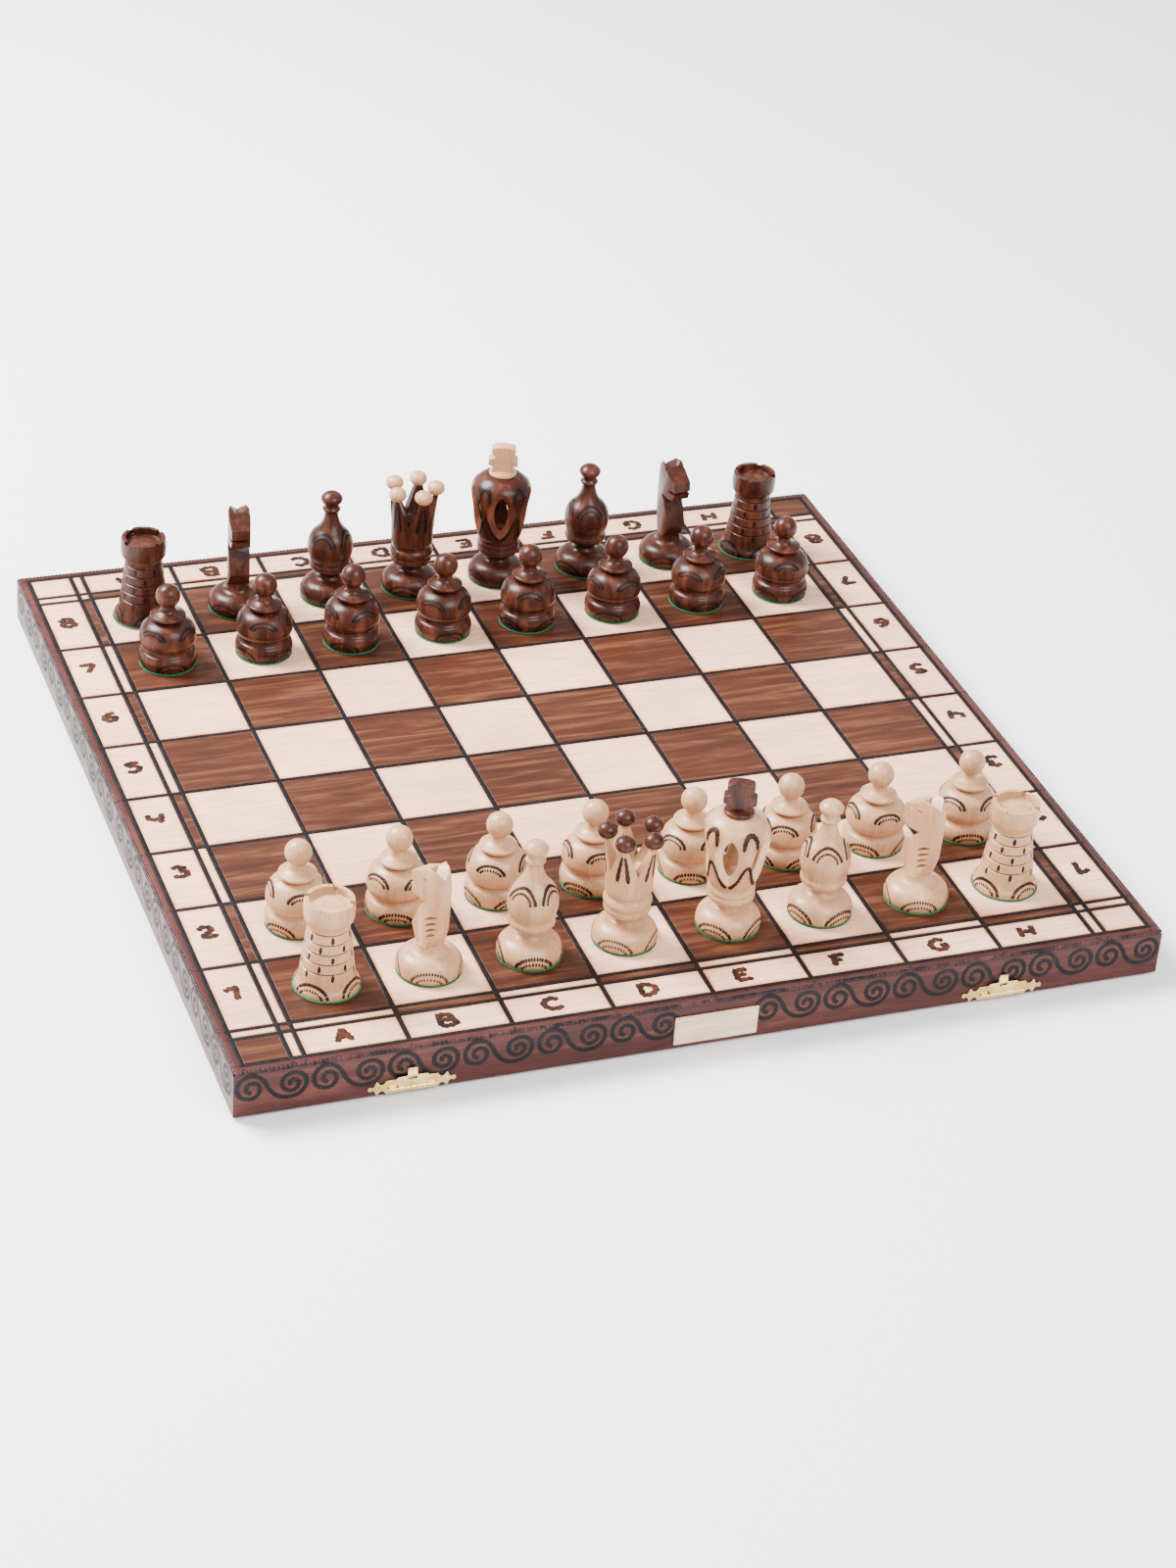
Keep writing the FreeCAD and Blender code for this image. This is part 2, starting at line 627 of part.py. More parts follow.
def nail(number, clasp, end):
    x = "%d * clasp_at + %d * (%s)" % (clasp, end, nail_out)
    name = "nail_%d" % number
    shank = cylinder(name + "_shank", (x, "-half_depth - brass_thick", clasp_mid_up),
                     "nail_rad", "nail_long + brass_thick", ALONG_Y)
    head = cylinder(name + "_head", (x, "-half_depth - brass_thick - nail_head_thick",
                                     clasp_mid_up), "nail_head_rad", "nail_head_thick", ALONG_Y)
    return fuse(name, [shank, head])


keep(group("clasp_plates", [clasp_plate(word, side) for side, word in CLASP_SIDES]),
     "clasp_plates")
for clasp, word in CLASP_SIDES:
    keep(hasp(word, clasp), "clasp_hasp_" + word)
pin_reach = "hasp_wide / 2 + hasp_side_play + clasp_knuckle_long"
clasp_pins = [cylinder("clasp_pin_" + word, ("%d * clasp_at - (%s)" % (clasp, pin_reach),
                                             "-half_depth - clasp_pin_out", clasp_pin_height),
                       "clasp_pin_rad", "2 * (%s)" % pin_reach, ALONG_X)
              for clasp, word in CLASP_SIDES]
keep(group("clasp_pins", clasp_pins), "clasp_pins")
keep(group("clasp_nails", [nail(number, clasp, end)
                           for number, (clasp, end) in enumerate(clasp_nail_places())]),
     "clasp_nails")
keep(group("catch_plates", [catch_plate(word, clasp) for clasp, word in CLASP_SIDES]),
     "catch_plates")
keep(box("name_plate", ("-name_plate_wide / 2", "-half_depth - name_plate_thick",
                        "rim_up + name_plate_lift"),
         ("name_plate_wide", "name_plate_thick", "name_plate_high")), "name_plate")


# --------------------------------------------------------------------- men
ARC_CENTRE = 3


def origin_plane(body, role):
    return [feature for feature in body.Origin.OriginFeatures if feature.Role == role][0]


def bow_point(start, end, bow):
    """Middle of an arc of bow degrees from start to end, to the right of the way it runs."""
    along = end.sub(start)
    right = FreeCAD.Vector(along.y, -along.x, 0)
    if bow == ROUND:
        bow = 2 * math.degrees(math.atan2(along.y, -along.x))
    rise = math.tan(math.radians(bow) / 4) / 2
    return start.add(end).multiply(0.5).add(right.multiply(rise))


def outline_sketch(body, name, role, points, bows):
    """A closed outline on one of the body's planes, every corner bound to the sheet.

    points holds (across, up) pairs of aliases, or None for a corner on the vertical axis.
    """
    sketch = body.newObject("Sketcher::SketchObject", name)
    sketch.AttachmentSupport = [(origin_plane(body, role), "")]
    sketch.MapMode = "FlatFace"
    corners = [FreeCAD.Vector(value(across) if across else 0, value(up), 0)
               for across, up in points]
    count = len(corners)
    ends = []
    for number in range(count):
        start, end = corners[number], corners[(number + 1) % count]
        if bows[number]:
            arc = Part.Arc(start, bow_point(start, end, bows[number]), end)
            line = sketch.addGeometry(arc, False)
        else:
            line = sketch.addGeometry(Part.LineSegment(start, end), False)
        forward = sketch.getPoint(line, 1).distanceToPoint(start) < 1e-6
        ends.append((line, 1 if forward else 2, 2 if forward else 1))
    for number in range(count):
        line, first, last = ends[number]
        after, after_first, after_last = ends[(number + 1) % count]
        sketch.addConstraint(Sketcher.Constraint("Coincident", line, last, after, after_first))
        across, up = points[number]
        if across:
            made = sketch.addConstraint(Sketcher.Constraint(
                "DistanceX", -1, 1, line, first, corners[number].x))
            sketch.setExpression("Constraints[%d]" % made, expand(across + " * men_scale"))
        else:
            sketch.addConstraint(Sketcher.Constraint("PointOnObject", line, first, -2))
        made = sketch.addConstraint(Sketcher.Constraint(
            "DistanceY", -1, 1, line, first, corners[number].y))
        sketch.setExpression("Constraints[%d]" % made, expand(up + " * men_scale"))
        if bows[number] == ROUND:
            sketch.addConstraint(Sketcher.Constraint("PointOnObject", line, ARC_CENTRE, -2))
        elif bows[number]:
            sketch.addConstraint(Sketcher.Constraint(
                "Angle", line, math.radians(abs(bows[number]))))
    return sketch


def turned(man):
    """A body of revolution through the man's rings, closed along the axis."""
    rings = TURNED[man]
    points = [(None, "%s_%s_high" % (man, rings[0][0]))]
    bows = [0]
    for ring, radius, height, bow in rings:
        across = "%s_%s_rad" % (man, ring) if radius else None
        points.append((across, "%s_%s_high" % (man, ring)))
        bows.append(bow if radius else 0)
    body = doc.addObject("PartDesign::Body", man + "_turning")
    sketch = outline_sketch(body, man + "_outline", "XZ_Plane", points, bows)
    turning = body.newObject("PartDesign::Revolution", man + "_revolution")
    turning.Profile = sketch
    turning.ReferenceAxis = (sketch, ["V_Axis"])
    turning.Angle = 360
    return body


def spaced(count, first=0.0):
    return [first + 360.0 * number / count for number in range(count)]


def rook():
    """The tower, with four crenels sawn down through the rim."""
    tools = []
    for number, angle in enumerate(spaced(4, 45.0)):
        crenel = box("crenel_%d" % number, ("0", "0", "rook_rim_high * men_scale"),
                     ("2 * rook_rim_rad * men_scale", "notch_wide * men_scale",
                      "2 * notch_deep * men_scale"))
        turn = math.radians(angle)
        crenel.Placement = FreeCAD.Placement(FreeCAD.Vector(), FreeCAD.Rotation(Z_AXIS, angle))
        place(crenel, ("%.9f * notch_wide / 2 * men_scale" % math.sin(turn),
                       "%.9f * notch_wide / 2 * men_scale" % -math.cos(turn),
                       "(rook_rim_high - notch_deep) * men_scale"))
        tools.append(crenel)
    return cut("rook_wood", turned("rook"), tools)


def queen():
    """The crown: a bowl whose wall is cut into five points by wedge cuts."""
    tools = []
    for number, angle in enumerate(spaced(5, 36.0)):
        wedge = doc.addObject("Part::Wedge", "crown_cut_%d" % number)
        # The wedge lies along +X: a sharp edge at the foot of the cut, open at the rim.
        half = "(queen_rim_rad * %.9f - point_half) * men_scale" % math.sin(math.radians(36.0))
        bind(wedge, {
            "Xmin": "0", "Xmax": expand("2 * queen_rim_rad * men_scale"),
            "X2min": "0", "X2max": expand("2 * queen_rim_rad * men_scale"),
            "Zmin": expand("-cut_foot_half"), "Zmax": expand("cut_foot_half"),
            "Z2min": expand("-(%s) * (1 + cut_past_rim)" % half),
            "Z2max": expand("(%s) * (1 + cut_past_rim)" % half),
            "Ymin": expand("cut_low_up * men_scale"),
            "Ymax": expand("(queen_rim_high + (queen_rim_high - cut_low_up) * cut_past_rim)"
                           " * men_scale"),
        })
        upright = FreeCAD.Rotation(X_AXIS, 90)
        wedge.Placement = FreeCAD.Placement(FreeCAD.Vector(),
                                            FreeCAD.Rotation(Z_AXIS, angle) * upright)
        tools.append(wedge)
    return cut("queen_wood", turned("queen"), tools)


def ball_set():
    """Five balls, each on the flat tip of a crown point."""
    balls = []
    for number, angle in enumerate(spaced(5)):
        turn = math.radians(angle)
        ball = doc.addObject("Part::Ellipsoid", "crown_ball_%d" % number)
        bind(ball, {"Radius1": expand("ball_half_high * men_scale"),
                    "Radius2": expand("ball_rad * men_scale"),
                    "Radius3": expand("ball_rad * men_scale"),
                    "Angle1": expand("-ball_flat")})
        lift = math.sin(math.radians(value("ball_flat")))
        place(ball, ("%.9f * ball_ring_rad * men_scale" % math.cos(turn),
                     "%.9f * ball_ring_rad * men_scale" % math.sin(turn),
                     "(queen_rim_high + %.9f * ball_half_high) * men_scale" % lift))
        balls.append(ball)
    return balls


def king():
    """The lantern body, hollow, with five almond windows through its wall."""
    tools = [turned("king_hollow")]
    for number, angle in enumerate(spaced(5)):
        turn = math.radians(angle)
        window = doc.addObject("Part::Ellipsoid", "window_%d" % number)
        bind(window, {"Radius1": expand("window_half_high * men_scale"),
                      "Radius2": expand("king_widest_up_rad * men_scale / 2"),
                      "Radius3": expand("window_half_wide * men_scale")})
        window.Placement = FreeCAD.Placement(FreeCAD.Vector(), FreeCAD.Rotation(Z_AXIS, angle))
        reach = "king_flank_rad * men_scale"
        place(window, ("%.9f * %s" % (math.cos(turn), reach), "%.9f * %s" % (math.sin(turn), reach),
                       "window_up * men_scale"))
        tools.append(window)
    return cut("king_wood", turned("king"), tools)


def king_finial():
    """Disc, waisted foot, arms and a rounded cap, sawn flat front and back."""
    seat = "king_seat_high"
    disc = cylinder("finial_disc", ("0", "0", seat + " * men_scale"), "finial_disc_rad * men_scale",
                    "finial_disc_thick * men_scale")

    def slab(name, half, low, high):
        return box(name, ("-(%s) * men_scale" % half, "-finial_thick / 2 * men_scale",
                          "(%s + %s) * men_scale" % (seat, low)),
                   ("2 * (%s) * men_scale" % half, "finial_thick * men_scale",
                    "(%s) * men_scale" % high))
    foot = slab("finial_foot", "finial_waist", "finial_disc_thick", "finial_cap_up - finial_disc_thick")
    arms = slab("finial_arms", "finial_arm_half", "finial_arm_low", "finial_arm_high")
    cap_round = cylinder("finial_cap_round",
                         ("0", "finial_thick / 2 * men_scale",
                          "(%s + finial_cap_up) * men_scale" % seat),
                         "finial_cap_rad * men_scale", "finial_thick * men_scale", ALONG_MINUS_Y)
    cap_band = slab("finial_cap_band", "finial_cap_rad", "finial_cap_up", "finial_cap_flat")
    return fuse("finial_wood", [disc, foot, arms, common("finial_cap", [cap_round, cap_band])])


def knight():
    """A plank head, bevelled to the mane and the muzzle, on a turned foot."""
    side = doc.addObject("PartDesign::Body", "knight_side")
    points = [("knight_%s_fore" % point, "knight_%s_up" % point) for point, fore, up in KNIGHT_SIDE]
    sketch = outline_sketch(side, "knight_side_outline", "YZ_Plane", points, [0] * len(points))
    pad = side.newObject("PartDesign::Pad", "knight_side_pad")
    pad.Profile = sketch
    pad.SideType = "Symmetric"
    pad.setExpression("Length", expand("plank_thick * men_scale"))

    def taper(name, at_fore, at_thick, end_fore, end_thick):
        """Plan view of one end of the head: the plank narrows from at_fore to end_fore."""
        made = doc.addObject("Part::Wedge", name)
        bind(made, {
            "Xmin": expand("-%s / 2 * men_scale" % at_thick),
            "Xmax": expand("%s / 2 * men_scale" % at_thick),
            "X2min": expand("-%s / 2 * men_scale" % end_thick),
            "X2max": expand("%s / 2 * men_scale" % end_thick),
            "Ymin": expand(at_fore + " * men_scale"), "Ymax": expand(end_fore + " * men_scale"),
            "Zmin": "0", "Z2min": "0",
            "Zmax": expand("knight_ear_up * men_scale + overcut"),
            "Z2max": expand("knight_ear_up * men_scale + overcut"),
        })
        return made
    mane = taper("knight_mane_plan", "knight_mane_fore", "mane_thick", "cheek_fore", "plank_thick")
    cheek = taper("knight_cheek_plan", "cheek_fore", "plank_thick", "bridge_fore", "plank_thick")
    muzzle = taper("knight_muzzle_plan", "bridge_fore", "plank_thick", "knight_lip_fore",
                   "muzzle_thick")
    head = common("knight_head", [side, fuse("knight_plan", [mane, cheek, muzzle])])
    cleft = box("knight_cleft", ("0", "knight_mane_fore * 2 * men_scale",
                                 "ear_cleft_up * men_scale"),
                ("plank_thick * men_scale", "(ear_cleft_fore - 2 * knight_mane_fore) * men_scale",
                 "plank_thick * men_scale"),
                (Y_AXIS, -45))
    return fuse("knight_wood", [turned("knight"), cut("knight_head_cleft", head, [cleft])])


def felt(man):
    """The felt disc under a foot."""
    return cylinder(man + "_felt", ("0", "0", "0"),
                    "(%s_foot_rad + felt_out) * men_scale" % man,
                    "%s_foot_high * men_scale" % man)


doc.recompute()
MAKERS = {"pawn": lambda: turned("pawn"), "rook": rook, "knight": knight,
          "bishop": lambda: turned("bishop"), "queen": queen, "king": king}
pattern = {man: [make(), felt(man)] for man, make in MAKERS.items()}
crown_balls = ball_set()
finial = king_finial()

FILES = "abcdefgh"
BACK_RANK = ["rook", "knight", "bishop", "queen", "king", "bishop", "knight", "rook"]
# How far each man is turned from squarely facing the other side, in degrees.
TURNS = {
    "white_rook_a1": 14, "white_knight_b1": 18, "white_queen": 16, "white_king": 21,
    "white_knight_g1": 18, "white_rook_h1": 1,
    "black_rook_a8": -20, "black_knight_b8": -8, "black_queen": 26, "black_king": 1,
    "black_knight_g8": 9, "black_rook_h8": 8,
}
FINIAL_TURNS = {"white": -25, "black": -20}
# How far each man was set down from the middle of its square: right and away from White.
SET_DOWN = {
    "white_queen": (-1.5, 1.5), "white_king": (2.0, 0.5), "white_knight_g1": (1.2, -1.0),
    "white_pawn_a2": (-0.5, 1.5), "white_pawn_b2": (-0.5, 1.5), "white_pawn_c2": (0.0, 1.5),
    "white_pawn_d2": (-1.3, 1.0), "white_pawn_f2": (2.0, 0.5), "black_rook_a8": (-2.4, 2.0),
    "black_bishop_c8": (2.5, 1.5), "black_queen": (-1.5, 1.0), "black_king": (-0.5, 1.5),
    "black_bishop_f8": (1.5, 2.0), "black_knight_g8": (1.5, 1.0), "black_rook_h8": (1.5, 2.0),
    "black_pawn_a7": (-1.5, 1.0), "black_pawn_b7": (1.5, 0.5), "black_pawn_d7": (2.2, 0.5),
}


def stand(name, man_name, parts, file_number, rank_number, turn):
    """Put a copy of a man, or of a part of it, on its square."""
    made = group(name, parts)
    across, away = SET_DOWN.get(man_name, (0, 0))
    made.Placement = FreeCAD.Placement(FreeCAD.Vector(), FreeCAD.Rotation(Z_AXIS, turn))
    place(made, ("%.1f * square + %s" % (file_number - 3.5, across),
                 "%.1f * square + %s" % (rank_number - 4.5, away), "top_up"))
    return keep(made, name)


for colour, home, pawns, facing in (("white", 1, 2, 0), ("black", 8, 7, 180)):
    for file_number, man in enumerate(BACK_RANK):
        name = "%s_%s" % (colour, man)
        if man not in ("king", "queen"):
            name += "_%s%d" % (FILES[file_number], home)
        stand(name, name, pattern[man], file_number, home, facing + TURNS.get(name, 0))
        if man == "queen":
            stand(name + "_balls", name, crown_balls, file_number, home, facing + TURNS[name])
        if man == "king":
            stand(name + "_finial", name, [finial], file_number, home,
                  facing + FINIAL_TURNS[colour])
    for file_number in range(8):
        name = "%s_pawn_%s%d" % (colour, FILES[file_number], pawns)
        stand(name, name, pattern["pawn"], file_number, pawns, facing)

doc.recompute()

# --------------------------------------------------------------- check, write
for thing in doc.Objects:
    if "Invalid" in thing.State or "Error" in thing.State:
        raise RuntimeError("%s: %s" % (thing.Name, thing.State))
for thing in sub_parts:
    if thing.Shape.isNull() or not thing.Shape.isValid():
        raise RuntimeError("bad shape: " + thing.Label)
os.makedirs("parts", exist_ok=True)
for thing in sub_parts:
    thing.Shape.exportStep("parts/%s.step" % thing.Label)
    print("%-24s %d solids, %.0f mm3" % (thing.Label, len(thing.Shape.Solids), thing.Shape.Volume))
print(len(sub_parts), "sub-parts")
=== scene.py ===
import bpy
import math
import numpy as np
from mathutils import Matrix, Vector
import bmesh


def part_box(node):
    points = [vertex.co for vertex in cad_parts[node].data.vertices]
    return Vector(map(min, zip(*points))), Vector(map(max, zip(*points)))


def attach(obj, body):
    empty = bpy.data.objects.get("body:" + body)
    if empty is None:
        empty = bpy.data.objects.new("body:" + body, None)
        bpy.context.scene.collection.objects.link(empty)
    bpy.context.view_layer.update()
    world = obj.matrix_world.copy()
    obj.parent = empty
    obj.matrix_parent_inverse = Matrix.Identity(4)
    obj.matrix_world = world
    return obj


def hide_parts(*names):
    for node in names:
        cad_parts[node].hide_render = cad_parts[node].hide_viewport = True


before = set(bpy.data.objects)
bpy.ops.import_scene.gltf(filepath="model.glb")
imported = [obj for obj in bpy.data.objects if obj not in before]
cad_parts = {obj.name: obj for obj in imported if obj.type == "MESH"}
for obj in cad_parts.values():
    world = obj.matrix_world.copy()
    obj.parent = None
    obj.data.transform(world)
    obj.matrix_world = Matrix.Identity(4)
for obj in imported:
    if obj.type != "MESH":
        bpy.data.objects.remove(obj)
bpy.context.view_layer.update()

# ------------------------------------------------------------ floor, light, camera
# The open set stands on a plain white table top in even studio light, seen from White's
# left. A large soft lamp behind gives the turned men their highlights.


def node(tree, kind, inputs=None, **settings):
    """A shader node with its settings, and its inputs set to values or joined to sockets."""
    made = tree.nodes.new("ShaderNode" + kind)
    for key, setting in settings.items():
        setattr(made, key, setting)
    for key, given in (inputs or {}).items():
        if isinstance(given, bpy.types.NodeSocket):
            tree.links.new(given, made.inputs[key])
        else:
            made.inputs[key].default_value = given
    return made


def new_finish(name):
    """A material with its surface shader, still to be given its colour and gloss."""
    made = bpy.data.materials.new(name)
    made.use_nodes = True
    return made, made.node_tree.nodes["Principled BSDF"]


def plain_finish(name, colour, roughness):
    """A material of one colour, for the table top only."""
    made, shader = new_finish(name)
    shader.inputs["Base Color"].default_value = (*colour, 1)
    shader.inputs["Roughness"].default_value = roughness
    return made


table_mesh = bpy.data.meshes.new("table_top")
TABLE = 4.0
table_mesh.from_pydata([(-TABLE, -TABLE, 0), (TABLE, -TABLE, 0), (TABLE, TABLE, 0),
                        (-TABLE, TABLE, 0)], [], [(0, 1, 2, 3)])
table = bpy.data.objects.new("table_top", table_mesh)
bpy.context.scene.collection.objects.link(table)
table_mesh.materials.append(plain_finish("white_table", (0.96, 0.96, 0.96), 0.6))

world = bpy.data.worlds.new("studio")
world.use_nodes = True
world.node_tree.nodes["Background"].inputs["Color"].default_value = (1, 1, 1, 1)
world.node_tree.nodes["Background"].inputs["Strength"].default_value = 1.05
bpy.context.scene.world = world


def lamp(name, at, aim, wide, watts):
    """A square soft lamp at a place, turned to face another."""
    light = bpy.data.lights.new(name, "AREA")
    light.size = wide
    light.energy = watts
    made = bpy.data.objects.new(name, light)
    bpy.context.scene.collection.objects.link(made)
    away = np.subtract(at, aim)
    away = away / np.linalg.norm(away)
    side = np.cross((0, 0, 1), away)
    side = side / np.linalg.norm(side)
    over = np.cross(away, side)
    made.matrix_world = Matrix([[side[i], over[i], away[i], at[i]] for i in range(3)]
                               + [[0, 0, 0, 1]])


lamp("key_lamp", (-1.2, 0.9, 1.7), (0, 0, 0.03), 1.0, 230)
lamp("fill_lamp", (0.5, -1.7, 1.8), (0, 0, 0.03), 1.4, 70)

camera = bpy.data.objects.new("camera", bpy.data.cameras.new("camera"))
camera.data.sensor_width = 36.0
camera.data.lens = 83.85
camera.data.clip_start = 0.05
RIGHT, OVER, AHEAD = (0.94043, -0.33302, 0.06845), (0.12522, 0.52646, 0.84097), \
    (0.3161, 0.7823, -0.5368)
EYE = (-0.67385, -1.72118, 1.18002)
camera.matrix_world = Matrix([[RIGHT[i], OVER[i], -AHEAD[i], EYE[i]] for i in range(3)]
                             + [[0, 0, 0, 1]])
bpy.context.scene.collection.objects.link(camera)
bpy.context.scene.camera = camera

# ------------------------------------------------------------------ playing panels
# Each half board is one sheet of birch plywood, let into its rails. Every second square is
# stained walnut brown, and the cells between the pressed lines have softly rolled edges.
MM = 0.001
BOARD_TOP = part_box("white_panel")[1][2] / MM
HALF_LONG = -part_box("white_left_rail")[0][0] / MM
HALF_DEEP = -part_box("white_front_rail")[0][1] / MM
PANEL_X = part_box("white_panel")[1][0] / MM
PANEL_Y = -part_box("white_panel")[0][1] / MM
SEAM_Y = -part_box("white_panel")[1][1] / MM
PANEL_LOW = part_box("white_panel")[0][2] / MM
SQUARE = 57.3
STRIP = 7.2
FIELD = 4 * SQUARE
LINES = [-FIELD - STRIP] + [n * SQUARE for n in range(-4, 5)] + [FIELD + STRIP]
LINES_X = np.array([-PANEL_X] + LINES + [PANEL_X])
LINES_Y = np.array([-PANEL_Y] + LINES + [PANEL_Y])
LINE_HALF = 1.5
GROOVE_DEEP = 0.55
HALVES = (("white", -1), ("black", 1))


def faces_out(points, faces):
    """The faces turned over if the closed shape they make has a negative volume, which is
    the sum over its triangles of the triple product of their corners."""
    total = 0.0
    for rows in faces:
        for step in range(1, rows.shape[1] - 1):
            a, b, c = (points[rows[:, n]] for n in (0, step, step + 1))
            total += np.einsum("ij,ij->", a, np.cross(b, c))
    return [rows[:, ::-1] for rows in faces] if total < 0 else faces


def joined(parts):
    """Several (points, faces) shapes as one list of points and one list of face rows."""
    start, points, faces = 0, [], []
    for part_points, part_faces in parts:
        points.append(part_points)
        faces += [rows + start for rows in part_faces]
        start += len(part_points)
    return np.concatenate(points), faces


def piece(name, shape, finishes, body, replaces=(), finish_of_face=None, smooth=None,
          glow=None):
    """A named object from (points in millimetres, face rows). smooth is the angle in degrees
    up to which neighbouring faces shade as one surface; glow is a value for each point."""
    points, faces = shape
    mesh = bpy.data.meshes.new(name)
    mesh.from_pydata((points * MM).tolist(), [],
                     [row for rows in faces for row in rows.tolist()])
    for finish in finishes:
        mesh.materials.append(finish)
    if finish_of_face is not None:
        mesh.polygons.foreach_set("material_index", finish_of_face)
    if glow is not None:
        mesh.attributes.new("scorch", "FLOAT", "POINT").data.foreach_set("value", glow)
    if smooth:
        mesh.shade_smooth()
        mesh.set_sharp_from_angle(angle=math.radians(smooth))
    mesh.validate()
    made = bpy.data.objects.new(name, mesh)
    bpy.context.scene.collection.objects.link(made)
    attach(made, body)
    if replaces:
        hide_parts(*replaces)
    return made


def ramp(tree, factor, stops):
    """A colour ramp through (place, colour) stops, read at a factor."""
    made = node(tree, "ValToRGB", {0: factor})
    while len(made.color_ramp.elements) < len(stops):
        made.color_ramp.elements.new(0.5)
    for element, (place, colour) in zip(made.color_ramp.elements, stops):
        element.position = place
        element.color = (*colour, 1)
    return made.outputs[0]


def mixed(tree, how, factor, first, second):
    """Two colours blended by a factor in one of the mix modes."""
    made = node(tree, "Mix", {0: factor, 6: first, 7: second}, data_type="RGBA", blend_type=how)
    return made.outputs[2]


def wood(name, dark, middle, light, squeeze, warp, roughness, bump, coat=0.0, figure=0.5,
         scorched=False, rings=None, shine=0.5):
    """Wood: noise read through coordinates squeezed across the grain draws out into streaks
    along it; slow noise shifts the tone from place to place, fine noise makes the fibres,
    and bump and gloss follow the fibres. Rings, if given as (bands to the metre, waver), are
    wavering bands across the board that lighten the streaks, as a peeled veneer shows."""
    made, shader = new_finish(name)
    tree = made.node_tree
    here = node(tree, "TexCoord").outputs["Object"]
    along = node(tree, "Mapping", {"Vector": here, "Scale": squeeze}).outputs[0]
    broad = node(tree, "TexNoise", {"Vector": along, "Scale": 1.0, "Detail": 5.0,
                                    "Roughness": 0.62, "Distortion": warp}).outputs[0]
    fibre = node(tree, "TexNoise", {"Vector": along, "Scale": 6.5, "Detail": 3.0,
                                    "Roughness": 0.7, "Distortion": warp * 0.4}).outputs[0]
    cloud = node(tree, "TexNoise", {"Vector": here, "Scale": 16.0, "Detail": 2.0}).outputs[0]
    if rings:
        slack = node(tree, "Mapping", {"Vector": here, "Scale": (0.34, 1.0, 1.0)}).outputs[0]
        band = node(tree, "TexWave", {"Vector": slack, "Scale": rings[0], "Distortion": rings[1],
                                      "Detail": 3.0, "Detail Scale": 1.3,
                                      "Detail Roughness": 0.62},
                    bands_direction="Y", wave_profile="SIN").outputs[1]
        band = node(tree, "MapRange", {0: band, 1: 0.0, 2: 1.0, 3: -0.055, 4: 0.055}).outputs[0]
        broad = node(tree, "Math", {0: broad, 1: band}, operation="ADD").outputs[0]
    spread = figure * 0.3
    colour = ramp(tree, broad, [(0.5 - spread, dark), (0.5, middle), (0.5 + spread, light)])
    streak = ramp(tree, fibre, [(0.32, (0.62, 0.58, 0.54)), (0.55, (1, 1, 1))])
    colour = mixed(tree, "MULTIPLY", 0.55, colour, streak)
    tone = ramp(tree, cloud, [(0.3, (0.86, 0.84, 0.82)), (0.7, (1.1, 1.1, 1.1))])
    colour = mixed(tree, "MULTIPLY", 0.7, colour, tone)
    if scorched:
        halo = node(tree, "Attribute", attribute_name="scorch").outputs["Fac"]
        patch = node(tree, "TexNoise", {"Vector": here, "Scale": 60.0, "Detail": 2.0}).outputs[0]
        patch = node(tree, "MapRange", {0: patch, 1: 0.45, 2: 0.75, 3: 0.45, 4: 1.0}).outputs[0]
        halo = node(tree, "Math", {0: halo, 1: patch}, operation="MULTIPLY").outputs[0]
        colour = mixed(tree, "MULTIPLY", halo, colour, (0.72, 0.34, 0.13, 1))
    tree.links.new(colour, shader.inputs["Base Color"])
    gloss = node(tree, "MapRange", {0: fibre, 1: 0.3, 2: 0.7, 3: roughness + 0.08,
                                    4: roughness - 0.08}).outputs[0]
    tree.links.new(gloss, shader.inputs["Roughness"])
    lift = node(tree, "Bump", {"Strength": bump, "Distance": 0.0004, "Height": fibre})
    tree.links.new(lift.outputs[0], shader.inputs["Normal"])
    shader.inputs["Specular IOR Level"].default_value = shine
    shader.inputs["Coat Weight"].default_value = coat
    shader.inputs["Coat Roughness"].default_value = 0.14
    return made


stained_ply = wood("stained_birch_ply", (0.030, 0.0078, 0.0036), (0.060, 0.0165, 0.0075),
                   (0.155, 0.055, 0.024), (9, 120, 60), 1.6, 0.44, 0.35, 0.0, 0.9,
                   rings=(26.0, 9.0), shine=0.2)
natural_ply = wood("natural_birch_ply", (0.76, 0.43, 0.26), (0.84, 0.505, 0.335),
                   (0.88, 0.565, 0.395), (7, 70, 60), 0.8, 0.46, 0.1, 0.0, 1.2, True,
                   shine=0.35)


def is_stained(column, row):
    """Whether a cell is stained. Squares alternate from a stained a1; a strip cell has the
    other tone than the square beside it; label cells are plain, and of the corner cells
    those at a1 and h8 are stained."""
    def zone(n):
        """The kind of a row or column of cells, by its number from 0 to 11."""
        return "label" if n in (0, 11) else "strip" if n in (1, 10) else "square"
    kinds = zone(column), zone(row)
    near = (min(max(column, 2), 9) + min(max(row, 2), 9)) % 2 == 0
    if kinds == ("square", "square"):
        return near
    if kinds in (("strip", "square"), ("square", "strip")):
        return not near
    if kinds in (("label", "label"), ("strip", "strip")):
        return near
    return False


def slab(low, high):
    """A plain closed box between two corners."""
    pick = np.array([[0, 0, 0], [1, 0, 0], [1, 1, 0], [0, 1, 0],
                     [0, 0, 1], [1, 0, 1], [1, 1, 1], [0, 1, 1]])
    points = np.where(pick == 1, high, low).astype(float)
    faces = np.array([[0, 3, 2, 1], [4, 5, 6, 7], [0, 1, 5, 4], [1, 2, 6, 5], [2, 3, 7, 6],
                      [3, 0, 4, 7]])
    return points, [faces]


